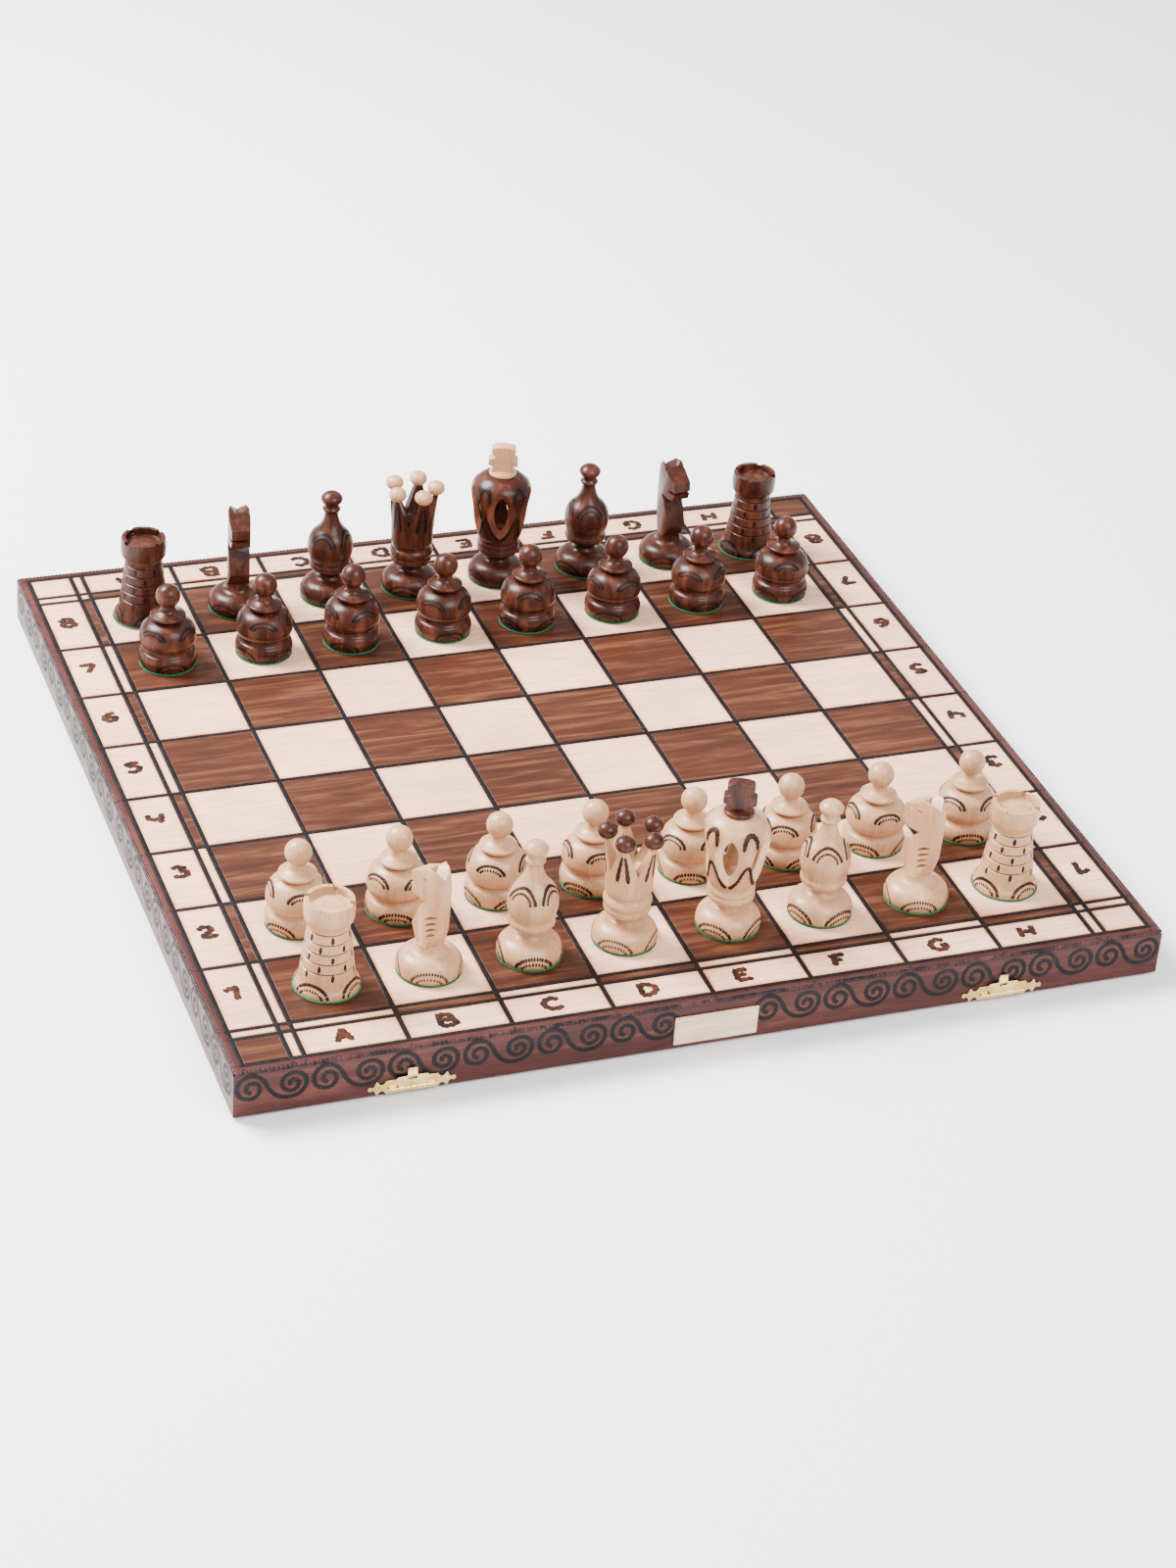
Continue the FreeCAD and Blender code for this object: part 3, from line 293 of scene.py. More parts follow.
def tile(x0, x1, y0, y1):
    """One cell: rings of four corners, drawn in as they rise over the rolled edge, then
    across the flat top to a middle panel. The scorched rim fades over the outer rings."""
    rings = [(0.0, -GROOVE_DEEP, 0.0), (0.0, -0.34, 1.0), (0.1, -0.12, 1.0), (0.3, 0.0, 1.0),
             (2.2, 0.0, 0.0)]
    points, glow = [], []
    for inset, up, burnt in rings:
        inset = min(inset, (x1 - x0) / 2.2, (y1 - y0) / 2.2)
        z = BOARD_TOP + up
        points += [(x0 + inset, y0 + inset, z), (x1 - inset, y0 + inset, z),
                   (x1 - inset, y1 - inset, z), (x0 + inset, y1 - inset, z)]
        glow += [burnt] * 4
    faces = [[n * 4 + k, n * 4 + (k + 1) % 4, n * 4 + 4 + (k + 1) % 4, n * 4 + 4 + k]
             for n in range(len(rings) - 1) for k in range(4)]
    faces += [[3, 2, 1, 0], [len(points) - 4 + k for k in range(4)]]
    return (np.array(points, float), [np.array(faces)]), glow


for colour, side in HALVES:
    deep = sorted((side * SEAM_Y, side * PANEL_Y))
    shapes = [slab((-PANEL_X, deep[0], PANEL_LOW), (PANEL_X, deep[1], BOARD_TOP - GROOVE_DEEP))]
    tones, glows = [0] * 6, [0.0] * 8
    for column in range(12):
        for row in (range(6) if side < 0 else range(6, 12)):
            edges_x = LINES_X[[column, column + 1]] + (LINE_HALF, -LINE_HALF)
            edges_y = LINES_Y[[row, row + 1]] + (LINE_HALF, -LINE_HALF)
            shape, glow = tile(*edges_x, *edges_y)
            shapes.append(shape)
            tones += [1 if is_stained(column, row) else 0] * len(shape[1][0])
            glows += glow
    name = colour + "_panel"
    piece(name + "_cells", joined(shapes), [natural_ply, stained_ply], colour + "_half",
          [name], tones, None, glows)

# ------------------------------------------------------------------ pressed lines
# Thirteen lines each way are pressed into the board with a hot knurled wheel, which leaves
# a black groove with a rope-like twist. They run from edge to edge, over the rails.


def swept(path, across, over, profile_across, profile_over, closed_path=False):
    """A profile carried along a path: point (i, j) is path point i, plus the profile's
    sideways part times the unit vector across, plus its upward part times over."""
    points = (path[:, None, :] + profile_across[..., None] * across[:, None, :]
              + profile_over[..., None] * over[:, None, :])
    count, ring = points.shape[:2]
    rows = np.arange(count if closed_path else count - 1)[:, None]
    cols = np.arange(ring)[None, :]
    after, beside = (rows + 1) % count, (cols + 1) % ring
    faces = [np.stack([rows * ring + cols, rows * ring + beside,
                       after * ring + beside, after * ring + cols], -1).reshape(-1, 4)]
    if not closed_path:
        faces.append(np.arange(ring)[None, ::-1])
        faces.append(np.arange(ring)[None, :] + (count - 1) * ring)
    points = points.reshape(-1, 3)
    return points, faces_out(points, faces)


def length_along(path):
    """Distance along a path at each of its points."""
    return np.concatenate([[0], np.cumsum(np.linalg.norm(np.diff(path, axis=0), axis=1))])


def twisted_strip(path, across, over, half_wide, crest, sunk, pitch):
    """A pressed line: a low arch across its width, whose height rises and falls with the
    distance along plus a share of the distance across, so the ridges lie aslant."""
    share = np.array([-1.0, -0.62, 0.0, 0.62, 1.0])
    at = length_along(path)[:, None]
    ridge = 0.5 + 0.5 * np.cos(2 * np.pi * (at / pitch + 0.42 * share[None, :]))
    arch = np.sqrt(1 - 0.9 * share ** 2)[None, :]
    ones = np.ones((len(path), 2))
    side = np.concatenate([share * half_wide * (0.9 + 0.1 * ridge),
                           ones * (half_wide * 0.8, -half_wide * 0.8)], 1)
    up = np.concatenate([crest - 0.42 * (1 - arch * (0.35 + 0.65 * ridge)), ones * -sunk], 1)
    return swept(path, across, over, side, up)


def straight(start, end, step):
    """Evenly spaced points from start to end."""
    start, end = np.array(start, float), np.array(end, float)
    count = max(2, int(np.linalg.norm(end - start) / step) + 1)
    return start + np.linspace(0, 1, count)[:, None] * (end - start)


def everywhere(vector, path):
    """One vector, repeated for each point of a path."""
    return np.tile(np.array(vector, float), (len(path), 1))


def char(name, dark, light, roughness):
    """A dark finish, for charred wood and also for painted shade in carved slits and grooves: near
    black, browner where fine noise says the iron pressed lightly.
    """
    made, shader = new_finish(name)
    tree = made.node_tree
    here = node(tree, "TexCoord").outputs["Object"]
    grain = node(tree, "TexNoise", {"Vector": here, "Scale": 420.0, "Detail": 2.0}).outputs[0]
    patch = node(tree, "TexNoise", {"Vector": here, "Scale": 70.0, "Detail": 2.0}).outputs[0]
    both = node(tree, "Math", {0: grain, 1: patch}, operation="MULTIPLY").outputs[0]
    colour = ramp(tree, both, [(0.16, dark), (0.40, light)])
    tree.links.new(colour, shader.inputs["Base Color"])
    shader.inputs["Roughness"].default_value = roughness
    shader.inputs["Specular IOR Level"].default_value = 0.15
    lift = node(tree, "Bump", {"Strength": 0.4, "Distance": 0.0002, "Height": grain})
    tree.links.new(lift.outputs[0], shader.inputs["Normal"])
    return made


line_char = char("pressed_line_char", (0.002, 0.0018, 0.003), (0.012, 0.008, 0.009), 0.45)
STEP = 0.55
TWIST = 2.1
CREST = 0.1
EDGE_IN = 2.4
for colour, side in HALVES:
    along_x, along_y = [], []
    for y in LINES_Y:
        if y * side < -0.1:
            continue
        at_seam = abs(y) < 0.1
        middle = side * (SEAM_Y + LINE_HALF / 2) if at_seam else y
        path = straight((-HALF_LONG + EDGE_IN, middle, BOARD_TOP),
                        (HALF_LONG - EDGE_IN, middle, BOARD_TOP), STEP)
        along_x.append(twisted_strip(path, everywhere((0, 1, 0), path),
                                     everywhere((0, 0, 1), path),
                                     LINE_HALF / 2 if at_seam else LINE_HALF, CREST,
                                     GROOVE_DEEP, TWIST))
    for x in LINES_X:
        path = straight((x, side * SEAM_Y, BOARD_TOP), (x, side * (HALF_DEEP - EDGE_IN), BOARD_TOP),
                        STEP)
        along_y.append(twisted_strip(path, everywhere((1, 0, 0), path),
                                     everywhere((0, 0, 1), path), LINE_HALF, CREST,
                                     GROOVE_DEEP, TWIST))
    piece(colour + "_lines_across", joined(along_x), [line_char], colour + "_half",
          smooth=50)
    piece(colour + "_lines_along", joined(along_y), [line_char], colour + "_half",
          smooth=50)

# ----------------------------------------------------------------- burned labels
# Letters stand in the cells before each file and digits beside each rank, drawn by hand
# with a hot pen; those at Black's side and at the right face the other player.
# Each stroke is a row of points, across and up, in shares of the letter's width and height.
STROKES = {
    "A": [[(0, 0), (.22, .55), (.42, 1)], [(.46, 1), (.6, .5), (.74, 0)], [(.2, .4), (.7, .44)],
          [(.22, 1), (.62, 1)]],
    "B": [[(.1, 0), (.16, 1)], [(0, .98), (.5, 1), (.76, .8), (.56, .58), (.25, .52)],
          [(.4, .54), (.8, .42), (.82, .15), (.5, 0), (.04, .03)]],
    "C": [[(.82, .8), (.56, 1), (.2, .86), (.05, .5), (.25, .14), (.6, .05), (.92, .2)]],
    "D": [[(.12, 0), (.18, .95)], [(0, .92), (.5, .95), (.88, .62), (.76, .2), (.4, 0),
                                   (.02, .03)]],
    "E": [[(.16, .95), (.1, .05)], [(.06, .95), (.8, .98)], [(.12, .5), (.66, .55)],
          [(.04, .03), (.86, .08)]],
    "F": [[(.32, .95), (.24, .5), (.14, 0)], [(.04, .86), (.3, .94), (.9, 1)],
          [(.24, .5), (.66, .55)]],
    "G": [[(.82, .85), (.5, 1), (.16, .8), (.05, .4), (.3, .08), (.7, .1), (.84, .42)],
          [(.5, .42), (.95, .46)]],
    "H": [[(.16, .95), (.05, 0)], [(.8, 1), (.7, .05)], [(.1, .48), (.76, .52)]],
    "1": [[(0, .72), (.35, .9), (.76, 1)], [(.62, .95), (.5, 0)], [(.34, .02), (.7, .02)]],
    "2": [[(.05, .75), (.35, 1), (.7, .85), (.58, .5), (.1, .1)], [(.08, .1), (.5, 0),
                                                                   (.95, .14)]],
    "3": [[(.1, .85), (.45, 1), (.7, .8), (.42, .55)], [(.42, .55), (.8, .4), (.7, .08),
                                                         (.35, 0), (.05, .15)]],
    "4": [[(.1, 1), (.12, .58), (.4, .42), (.76, .52)], [(.82, 1), (.74, .5), (.6, 0)]],
    "5": [[(.85, .98), (.3, .95), (.2, .6)], [(.2, .6), (.55, .65), (.8, .35), (.5, .02),
                                              (.1, .1)]],
    "6": [[(.76, .95), (.35, .75), (.12, .35), (.35, .02), (.7, .15), (.66, .45), (.22, .4)]],
    "7": [[(.04, .9), (.5, .94), (.86, 1)], [(.86, 1), (.6, .5), (.36, 0)]],
    "8": [[(.45, .52), (.15, .75), (.45, 1), (.75, .78), (.45, .52), (.1, .25), (.45, 0),
           (.86, .25), (.45, .52)]],
}
# How far each label was set down beside the middle of its cell.
LETTER_DRIFT = {"A": -4, "B": -5, "C": -3, "D": -6, "E": -7.5, "F": -8, "G": -5, "H": -8}
DIGIT_DRIFT = {"1": 4, "2": 4.6, "3": 7.6, "4": 5.5, "5": 4, "6": 4.3, "7": 4, "8": 3}
LABEL_SIZE = (11.4, 9.8)
LABEL_MIDDLE = (0.42, 0.5)
LETTERS_IN, DIGITS_IN = 18.4, 18.6
PEN_HALF, PEN_PROUD, PEN_SUNK = 2.0, 0.16, 0.2


def eased(points, steps):
    """A smooth path through points: between two of them, the cubic whose slope at each is
    half the way from its neighbour before to its neighbour after."""
    points = np.array(points, float)
    ends = np.concatenate([[2 * points[0] - points[1]], points, [2 * points[-1] - points[-2]]])
    a, b, c, d = ends[:-3, None], ends[1:-2, None], ends[2:-1, None], ends[3:, None]
    t = np.linspace(0, 1, steps, endpoint=False)[None, :, None]
    curve = b + 0.5 * t * (c - a + t * (2 * a - 5 * b + 4 * c - d + t * (3 * (b - c) + d - a)))
    return np.concatenate([curve.reshape(-1, points.shape[1]), points[-1:]])


def beside(path, over):
    """The unit vector square to a path's direction and to over, at each point."""
    ahead = np.gradient(path, axis=0)
    out = np.cross(ahead, over)
    return out / np.linalg.norm(out, axis=1)[:, None]


def pen_stroke(path, over, half_wide, proud, sunk):
    """A burned stroke: a low lens-shaped ridge that starts and ends blunt and swells and
    thins a little along its length."""
    at = length_along(path)
    swell = half_wide * (1 + 0.18 * np.sin(at * 1.9) + 0.1 * np.sin(at * 4.3 + 1))
    ends = np.minimum(np.minimum(at, at[-1] - at) / half_wide + 0.45, 1)
    wide = (swell * ends)[:, None]
    side = wide * np.array([[-1, -0.6, 0, 0.6, 1, 0.6, -0.6]])
    up = np.array([[0, proud * 0.8, proud * 0.45, proud * 0.8, 0, -sunk, -sunk]])
    return swept(path, beside(path, over), over, side, np.repeat(up, len(path), 0))


label_char = char("burned_label_char", (0.008, 0.0035, 0.0025), (0.075, 0.022, 0.010), 0.5)
for colour, side in HALVES:
    labels = []
    places = []
    for number, letter in enumerate("ABCDEFGH"):
        middle = (number - 3.5) * SQUARE + LETTER_DRIFT[letter]
        places.append((letter, middle, side * (HALF_DEEP - LETTERS_IN), 0 if side < 0 else 180))
    for number, digit in enumerate("12345678"):
        middle = (number - 3.5) * SQUARE + DIGIT_DRIFT[digit]
        if (number < 4) == (side < 0):
            places.append((digit, -HALF_LONG + DIGITS_IN, middle, 0))
            places.append((digit, HALF_LONG - DIGITS_IN, middle, 180))
    for label, x, y, turn in places:
        c, s = math.cos(math.radians(turn)), math.sin(math.radians(turn))
        for stroke in STROKES[label]:
            flat = (eased(stroke, 7) - LABEL_MIDDLE) * LABEL_SIZE
            flat = flat @ np.array([[c, s], [-s, c]]) + (x, y)
            path = np.column_stack([flat, np.full(len(flat), BOARD_TOP)])
            labels.append(pen_stroke(path, everywhere((0, 0, 1), path), PEN_HALF, PEN_PROUD,
                                     PEN_SUNK))
    piece(colour + "_labels", joined(labels), [label_char], colour + "_half",
          smooth=60)

# ---------------------------------------------------------------------- rails
# Six rails frame the two halves, mitred at the corners and rebated for the panel. They are
# stained pine or beech; the upper edge and a band of S scrolls are rolled on hot.
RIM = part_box("white_front_rail")[0][2] / MM
RAIL_THICK = 10.0
FACE_IN = 0.3
EDGE = HALF_LONG - PANEL_X
rail_wood = wood("stained_rail", (0.032, 0.0072, 0.006), (0.062, 0.0150, 0.0118),
                 (0.13, 0.039, 0.029), (7, 7, 95), 1.0, 0.4, 0.3, 0.0, 0.9, shine=0.2)
# Section, in from the outer face and up from the rim: outer face, bottom, rebate under the
# panel, the groove of the border line, the flat top, and the rolled upper edge.
UNDER = PANEL_LOW - RIM
TALL = BOARD_TOP - RIM
SECTION = np.array([(FACE_IN, 0.6), (0.42, 0.2), (0.8, 0.0), (9.6, 0.0), (RAIL_THICK, 0.4),
                    (RAIL_THICK, UNDER), (EDGE, UNDER), (EDGE, TALL - GROOVE_DEEP),
                    (EDGE - LINE_HALF, TALL - GROOVE_DEEP), (EDGE - LINE_HALF, TALL - 0.2),
                    (EDGE - LINE_HALF - 0.2, TALL), (2.7, TALL), (2.0, TALL - 0.5),
                    (0.9, TALL - 1.7), (FACE_IN, TALL - 2.6)])


def rail(face, start, end, mitres):
    """A rail along +X with its outer face at -Y: the section at each end, moved along by its
    own depth where the end is mitred, and a skin between."""
    depth, up = SECTION.T
    ends = [start + mitres[0] * depth, end - mitres[1] * depth]
    points = np.concatenate([np.column_stack([at, -face + depth, RIM + up]) for at in ends])
    count = len(SECTION)
    first = np.arange(count)
    skin = np.stack([first, (first + 1) % count, (first + 1) % count + count, first + count], -1)
    faces = [skin, first[None, ::-1], first[None, :] + count]
    return points, faces_out(points, faces)


def turned_round(shape, degrees):
    """A shape turned about the upright axis."""
    c, s = math.cos(math.radians(degrees)), math.sin(math.radians(degrees))
    points, faces = shape
    return points @ np.array([[c, s, 0], [-s, c, 0], [0, 0, 1]]), faces


# Centre line of one S scroll: along, and down from the board's top.
SCROLL = [(9.5, 14.6), (7.0, 12.4), (7.7, 9.1), (10.6, 8.0), (13.7, 10.2), (14.1, 14.0),
          (11.8, 17.2), (8.2, 17.9), (4.2, 16.2), (2.1, 12.4), (2.6, 7.8), (5.2, 4.5),
          (9.4, 3.3), (13.8, 4.6), (17.2, 8.8), (20.0, 14.4), (24.6, 18.7), (30.2, 20.1),
          (36.0, 18.4), (39.2, 13.6), (38.8, 8.4), (35.6, 5.3), (31.4, 4.9), (27.4, 6.8),
          (26.2, 10.8), (27.6, 14.4), (31.2, 16.2), (34.6, 14.6), (35.2, 11.4), (32.8, 9.2),
          (30.4, 10.6), (30.9, 12.6)]
SCROLL_LONG = 41.4
SCROLL_HALF, SCROLL_SUNK, SCROLL_TWIST = 1.65, 0.3, 1.9
FRONT_SCROLLS, SIDE_SCROLLS = 13, 6
PLATE_SCROLL = 6
ROPE_RAD, ROPE_IN, ROPE_TWIST = 1.4, 1.45, 2.4


def scroll_band(face, start, count, pitch, skipped=()):
    """A row of S scrolls on a rail's outer face, each a twisted strip along its path."""
    made = []
    for number in range(count):
        if number in skipped:
            continue
        flat = eased(SCROLL, 9)
        path = np.column_stack([start + number * pitch + flat[:, 0] * pitch / SCROLL_LONG,
                                np.full(len(flat), -face + FACE_IN), BOARD_TOP - flat[:, 1]])
        over = everywhere((0, -1, 0), path)
        made.append(twisted_strip(path, beside(path, over), over, SCROLL_HALF, FACE_IN - 0.02,
                                  SCROLL_SUNK, SCROLL_TWIST))
    return made


def edge_rope(face, start, end):
    """The rolled upper edge: a round bar whose radius ripples with the angle round it plus
    the distance along, as strands do. The ends are cut to the mitre by their own depth."""
    path = straight((start, -face + ROPE_IN, BOARD_TOP - ROPE_RAD),
                    (end, -face + ROPE_IN, BOARD_TOP - ROPE_RAD), 0.4)
    angle = np.linspace(0, 2 * np.pi, 10, endpoint=False)[None, :]
    at = length_along(path)[:, None]
    radius = ROPE_RAD * (0.83 + 0.17 * np.cos(2 * angle - 2 * np.pi * at / ROPE_TWIST))
    return swept(path, everywhere((0, -1, 0), path), everywhere((0, 0, 1), path),
                 radius * np.cos(angle), radius * np.sin(angle))


edge_char = char("rolled_edge_char", (0.008, 0.005, 0.007), (0.075, 0.028, 0.026), 0.3)
SIDE_PITCH = 43.2
SIDE_MARGIN = (HALF_DEEP - SIDE_SCROLLS * SIDE_PITCH) / 2
for colour, side in HALVES:
    end_rail = "white_front_rail" if side < 0 else "black_back_rail"
    turn = 0 if side < 0 else 180
    body = colour + "_half"
    piece(end_rail + "_wood", turned_round(rail(HALF_DEEP, -HALF_LONG, HALF_LONG, (1, 1)), turn),
          [rail_wood], body, [end_rail], smooth=30)
    # The name plate takes the place of the middle scroll on White's side.
    skip = (PLATE_SCROLL,) if side < 0 else ()
    band = scroll_band(HALF_DEEP, -HALF_LONG + FACE_IN, FRONT_SCROLLS, SCROLL_LONG, skip)
    piece(end_rail + "_scrolls", turned_round(joined(band), turn), [line_char], body,
          smooth=50)
    ropes = [turned_round(edge_rope(HALF_DEEP, -HALF_LONG + ROPE_RAD, HALF_LONG - ROPE_RAD),
                          turn)]
    for hand, word in ((-1, "left"), (1, "right")):
        name = "%s_%s_rail" % (colour, word)
        turn_side = -90 if hand < 0 else 90
        # The rail runs toward the seam or away from it, by which way it is turned.
        seam_last = (hand < 0) == (side > 0)
        if seam_last:
            low, high, mitres = -HALF_DEEP, -SEAM_Y, (1, 0)
        else:
            low, high, mitres = SEAM_Y, HALF_DEEP, (0, 1)
        piece(name + "_wood", turned_round(rail(HALF_LONG, low, high, mitres), turn_side),
              [rail_wood], body, [name], smooth=30)
        band = scroll_band(HALF_LONG, low + SIDE_MARGIN, SIDE_SCROLLS, SIDE_PITCH)
        piece(name + "_scrolls", turned_round(joined(band), turn_side), [line_char], body,
              smooth=50)
        ropes.append(turned_round(edge_rope(HALF_LONG, low + ROPE_RAD * mitres[0],
                                            high - ROPE_RAD * mitres[1]), turn_side))
    piece(colour + "_edge_ropes", joined(ropes), [edge_char], body, smooth=50)

# --------------------------------------------------------------------- clasps
# Two stamped brass clasps on White's front rail: a plate with scrolled ends, barrels rolled
# from it, and a flap that swings on a pin between them, with a slot and a finger tongue.
CLASP_AT = 3 * SQUARE
PLATE_LIFT, PLATE_HIGH = 0.6, 8.5
PLATE_MID = RIM + PLATE_LIFT + PLATE_HIGH / 2
PIN_UP = RIM + 3.8
PIN_Y = -HALF_DEEP - 1.4
BARREL_RAD = 1.0
BARREL_IN, BARREL_END = 8.0, 12.6
NAIL_OUT = 19.6
FLAP_THICK = 0.5
FLAP_BARREL_HALF = 7.7
# The flap's slot is measured up from the pin, and its tongue from where it leaves the flap.
SLOT_UP, SLOT_HALF_WIDE, SLOT_HALF_HIGH = 6.0, 2.5, 0.8
TONGUE_ROOT, TONGUE_LONG, TONGUE_HALF_WIDE = 7.0, 5.1, 2.75
# Half of the plate's outline: out from the middle, and up from its centre line.
PLATE_HALF = [(0, 4.25), (14.4, 4.25), (15.0, 3.0), (16.0, 2.1), (17.2, 2.1), (18.2, 2.9),
              (18.9, 4.1), (19.7, 4.2), (20.0, 3.3), (20.4, 2.2), (21.2, 1.2), (22.0, 0.9),
              (22.5, 1.4), (23.3, 1.6), (24.1, 1.1), (24.4, 0.0)]
# Half of the flap's outline: out from the middle, and up from its pin.
FLAP_HALF = [(0, 7.6), (3.4, 7.6), (8.2, 7.4), (9.4, 6.2), (10.1, 5.6), (10.2, 4.6), (9.2, 3.6),
             (8.2, 2.4), (7.7, 0.0), (3.0, 0.0), (0, 0.0)]
BRASS_SHEET = 0.4


def stamped_brass():
    """Stamped brass: smeared noise takes its colour from dull to bright, its gloss from
    rough to smooth, and raises it a little."""
    made, shader = new_finish("stamped_brass")
    tree = made.node_tree
    here = node(tree, "TexCoord").outputs["Object"]
    smear = node(tree, "TexNoise", {"Vector": here, "Scale": 160.0, "Detail": 4.0}).outputs[0]
    colour = ramp(tree, smear, [(0.35, (0.66, 0.44, 0.15)), (0.65, (0.86, 0.65, 0.30))])
    tree.links.new(colour, shader.inputs["Base Color"])
    gloss = node(tree, "MapRange", {0: smear, 1: 0.3, 2: 0.7, 3: 0.2, 4: 0.36}).outputs[0]
    tree.links.new(gloss, shader.inputs["Roughness"])
    shader.inputs["Metallic"].default_value = 1.0
    lift = node(tree, "Bump", {"Strength": 0.25, "Distance": 0.0002, "Height": smear})
    tree.links.new(lift.outputs[0], shader.inputs["Normal"])
    return made


def mirrored(half):
    """A closed outline from its right half, foot and top on the middle line."""
    half = np.array(half, float)
    left = half[::-1] * (-1, 1)
    return np.concatenate([half, left[np.abs(left[:, 0]) > 1e-6]])


def four_fold(half):
    """A closed outline from one quarter."""
    upper = np.array(half, float)
    lower = upper[::-1][1:] * (1, -1)
    right = np.concatenate([upper, lower])
    left = right[::-1] * (-1, 1)
    return np.concatenate([right, left[np.abs(left[:, 0]) > 1e-6]])


def sheet_metal(outline, x, z, y_back, y_front, hole=None):
    """A flat stamping: its outline at the front and back faces, joined round the edge, and
    round the hole if it has one."""
    count = len(outline)
    rings = [(outline, y_back), (outline, y_front)]
    if hole is not None:
        rings += [(hole, y_front), (hole, y_back)]
    points = np.concatenate([np.column_stack([x + ring[:, 0], np.full(count, y), z + ring[:, 1]])
                             for ring, y in rings])
    turn = np.arange(count)
    after = (turn + 1) % count
    loops = len(rings)
    faces = []
    for n in range(loops if hole is not None else 1):
        low, high = n * count, (n + 1) % loops * count
        faces.append(np.stack([low + turn, low + after, high + after, high + turn], -1))
    if hole is None:
        faces += [turn[None, ::-1], turn[None, :] + count]
    return points, faces_out(points, faces)


def barrel(x0, x1, y, z, radius, sides=12, ripple=0.0):
    """A rolled barrel along X, its radius rippled aslant if it is ribbed."""
    path = straight((x0, y, z), (x1, y, z), 0.35)
    angle = np.linspace(0, 2 * np.pi, sides, endpoint=False)[None, :]
    at = length_along(path)[:, None]
    rad = radius * (1 - ripple + ripple * np.cos(5 * angle + 2 * np.pi * at / 3.2))
    return swept(path, everywhere((0, 1, 0), path), everywhere((0, 0, 1), path),
                 rad * np.cos(angle), rad * np.sin(angle))


def softened(made, wide, angle=35, rounds=2):
    """A live bevel that rounds a piece's edges."""
    bevel = made.modifiers.new("soft_edges", "BEVEL")
    bevel.width = wide * MM
    bevel.segments = rounds
    bevel.limit_method = "ANGLE"
    bevel.angle_limit = math.radians(angle)
    return made


def domed_head(x, y, z, radius, high):
    """A nail's head: rings that shrink as they rise away from the rail."""
    lift = np.linspace(0, 1, 5)
    path = np.column_stack([np.full(5, x), y - high * np.sin(lift * np.pi / 2), np.full(5, z)])
    rad = radius * np.cos(lift * np.pi / 2 * 0.96)[:, None]
    angle = np.linspace(0, 2 * np.pi, 14, endpoint=False)[None, :]
    return swept(path, everywhere((1, 0, 0), path), everywhere((0, 0, 1), path),
                 rad * np.cos(angle), rad * np.sin(angle))


def slot_outline(flap):
    """The flap's slot, with a point in line with each point of the flap's own outline: from
    the slot's middle, as far as the nearer of the slot's upright and level sides."""
    centre = np.array([0, SLOT_UP])
    aim = np.arctan2(flap[:, 1] - centre[1], flap[:, 0] - centre[0])
    reach = np.minimum(SLOT_HALF_WIDE / np.maximum(abs(np.cos(aim)), 1e-6),
                       SLOT_HALF_HIGH / np.maximum(abs(np.sin(aim)), 1e-6))
    return centre + reach[:, None] * np.column_stack([np.cos(aim), np.sin(aim)])


def finger_tongue(middle):
    """The tongue leans in to the rail by a share of a sine, then rolls outward at its tip."""
    rise = np.linspace(0, 1, 12)
    path = np.column_stack([np.full(12, middle), PIN_Y + 0.1 + 0.62 * np.sin(rise * 2.2)
                            - 0.9 * np.clip(rise - 0.75, 0, 1) ** 1.3,
                            PIN_UP + TONGUE_ROOT + TONGUE_LONG * rise])
    wide = TONGUE_HALF_WIDE * np.array([[-1, 1, 1, -1]]) * (1 - 0.1 * rise[:, None] ** 6)
    half = FLAP_THICK / 2
    return swept(path, everywhere((1, 0, 0), path), everywhere((0, 1, 0), path), wide,
                 np.repeat([[-half, -half, half, half]], 12, 0))


brass = stamped_brass()
plates, nails = [], []
for hand, word in ((-1, "left"), (1, "right")):
    middle = hand * CLASP_AT
    plates.append(sheet_metal(four_fold(PLATE_HALF), middle, PLATE_MID, -HALF_DEEP,
                              -HALF_DEEP - BRASS_SHEET))
    for end in (-1, 1):
        inner, outer = sorted((middle + end * BARREL_IN, middle + end * BARREL_END))
        plates.append(barrel(inner, outer, PIN_Y, PIN_UP, BARREL_RAD))
        plates.append(slab((inner, PIN_Y + 0.3, PIN_UP - 0.95), (outer, -HALF_DEEP - 0.2,
                                                                PIN_UP + 0.95)))
        nails.append(domed_head(middle + end * NAIL_OUT, -HALF_DEEP - BRASS_SHEET, PLATE_MID,
                                1.0, 0.5))
    flap = mirrored(FLAP_HALF)
    parts = [sheet_metal(flap, middle, PIN_UP, PIN_Y + FLAP_THICK / 2, PIN_Y - FLAP_THICK / 2,
                         slot_outline(flap)),
             barrel(middle - FLAP_BARREL_HALF, middle + FLAP_BARREL_HALF, PIN_Y, PIN_UP,
                    BARREL_RAD, 15, 0.07), finger_tongue(middle)]
    made = piece("clasp_flap_" + word, joined(parts), [brass], "clasp_" + word,
                 ["clasp_hasp_" + word], smooth=40)
    softened(made, 0.12)
made = piece("clasp_back_plates", joined(plates), [brass], "white_half",
             ["clasp_plates"], smooth=40)
softened(made, 0.14)
piece("clasp_nail_heads", joined(nails), [brass], "white_half", ["clasp_nails"],
      smooth=60)
for name in ("clasp_pins", "catch_plates", "hinge_pins", "white_hinge_leaves",
             "black_hinge_leaves", "white_hinge_screws", "black_hinge_screws"):
    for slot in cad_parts[name].material_slots:
        slot.material = brass

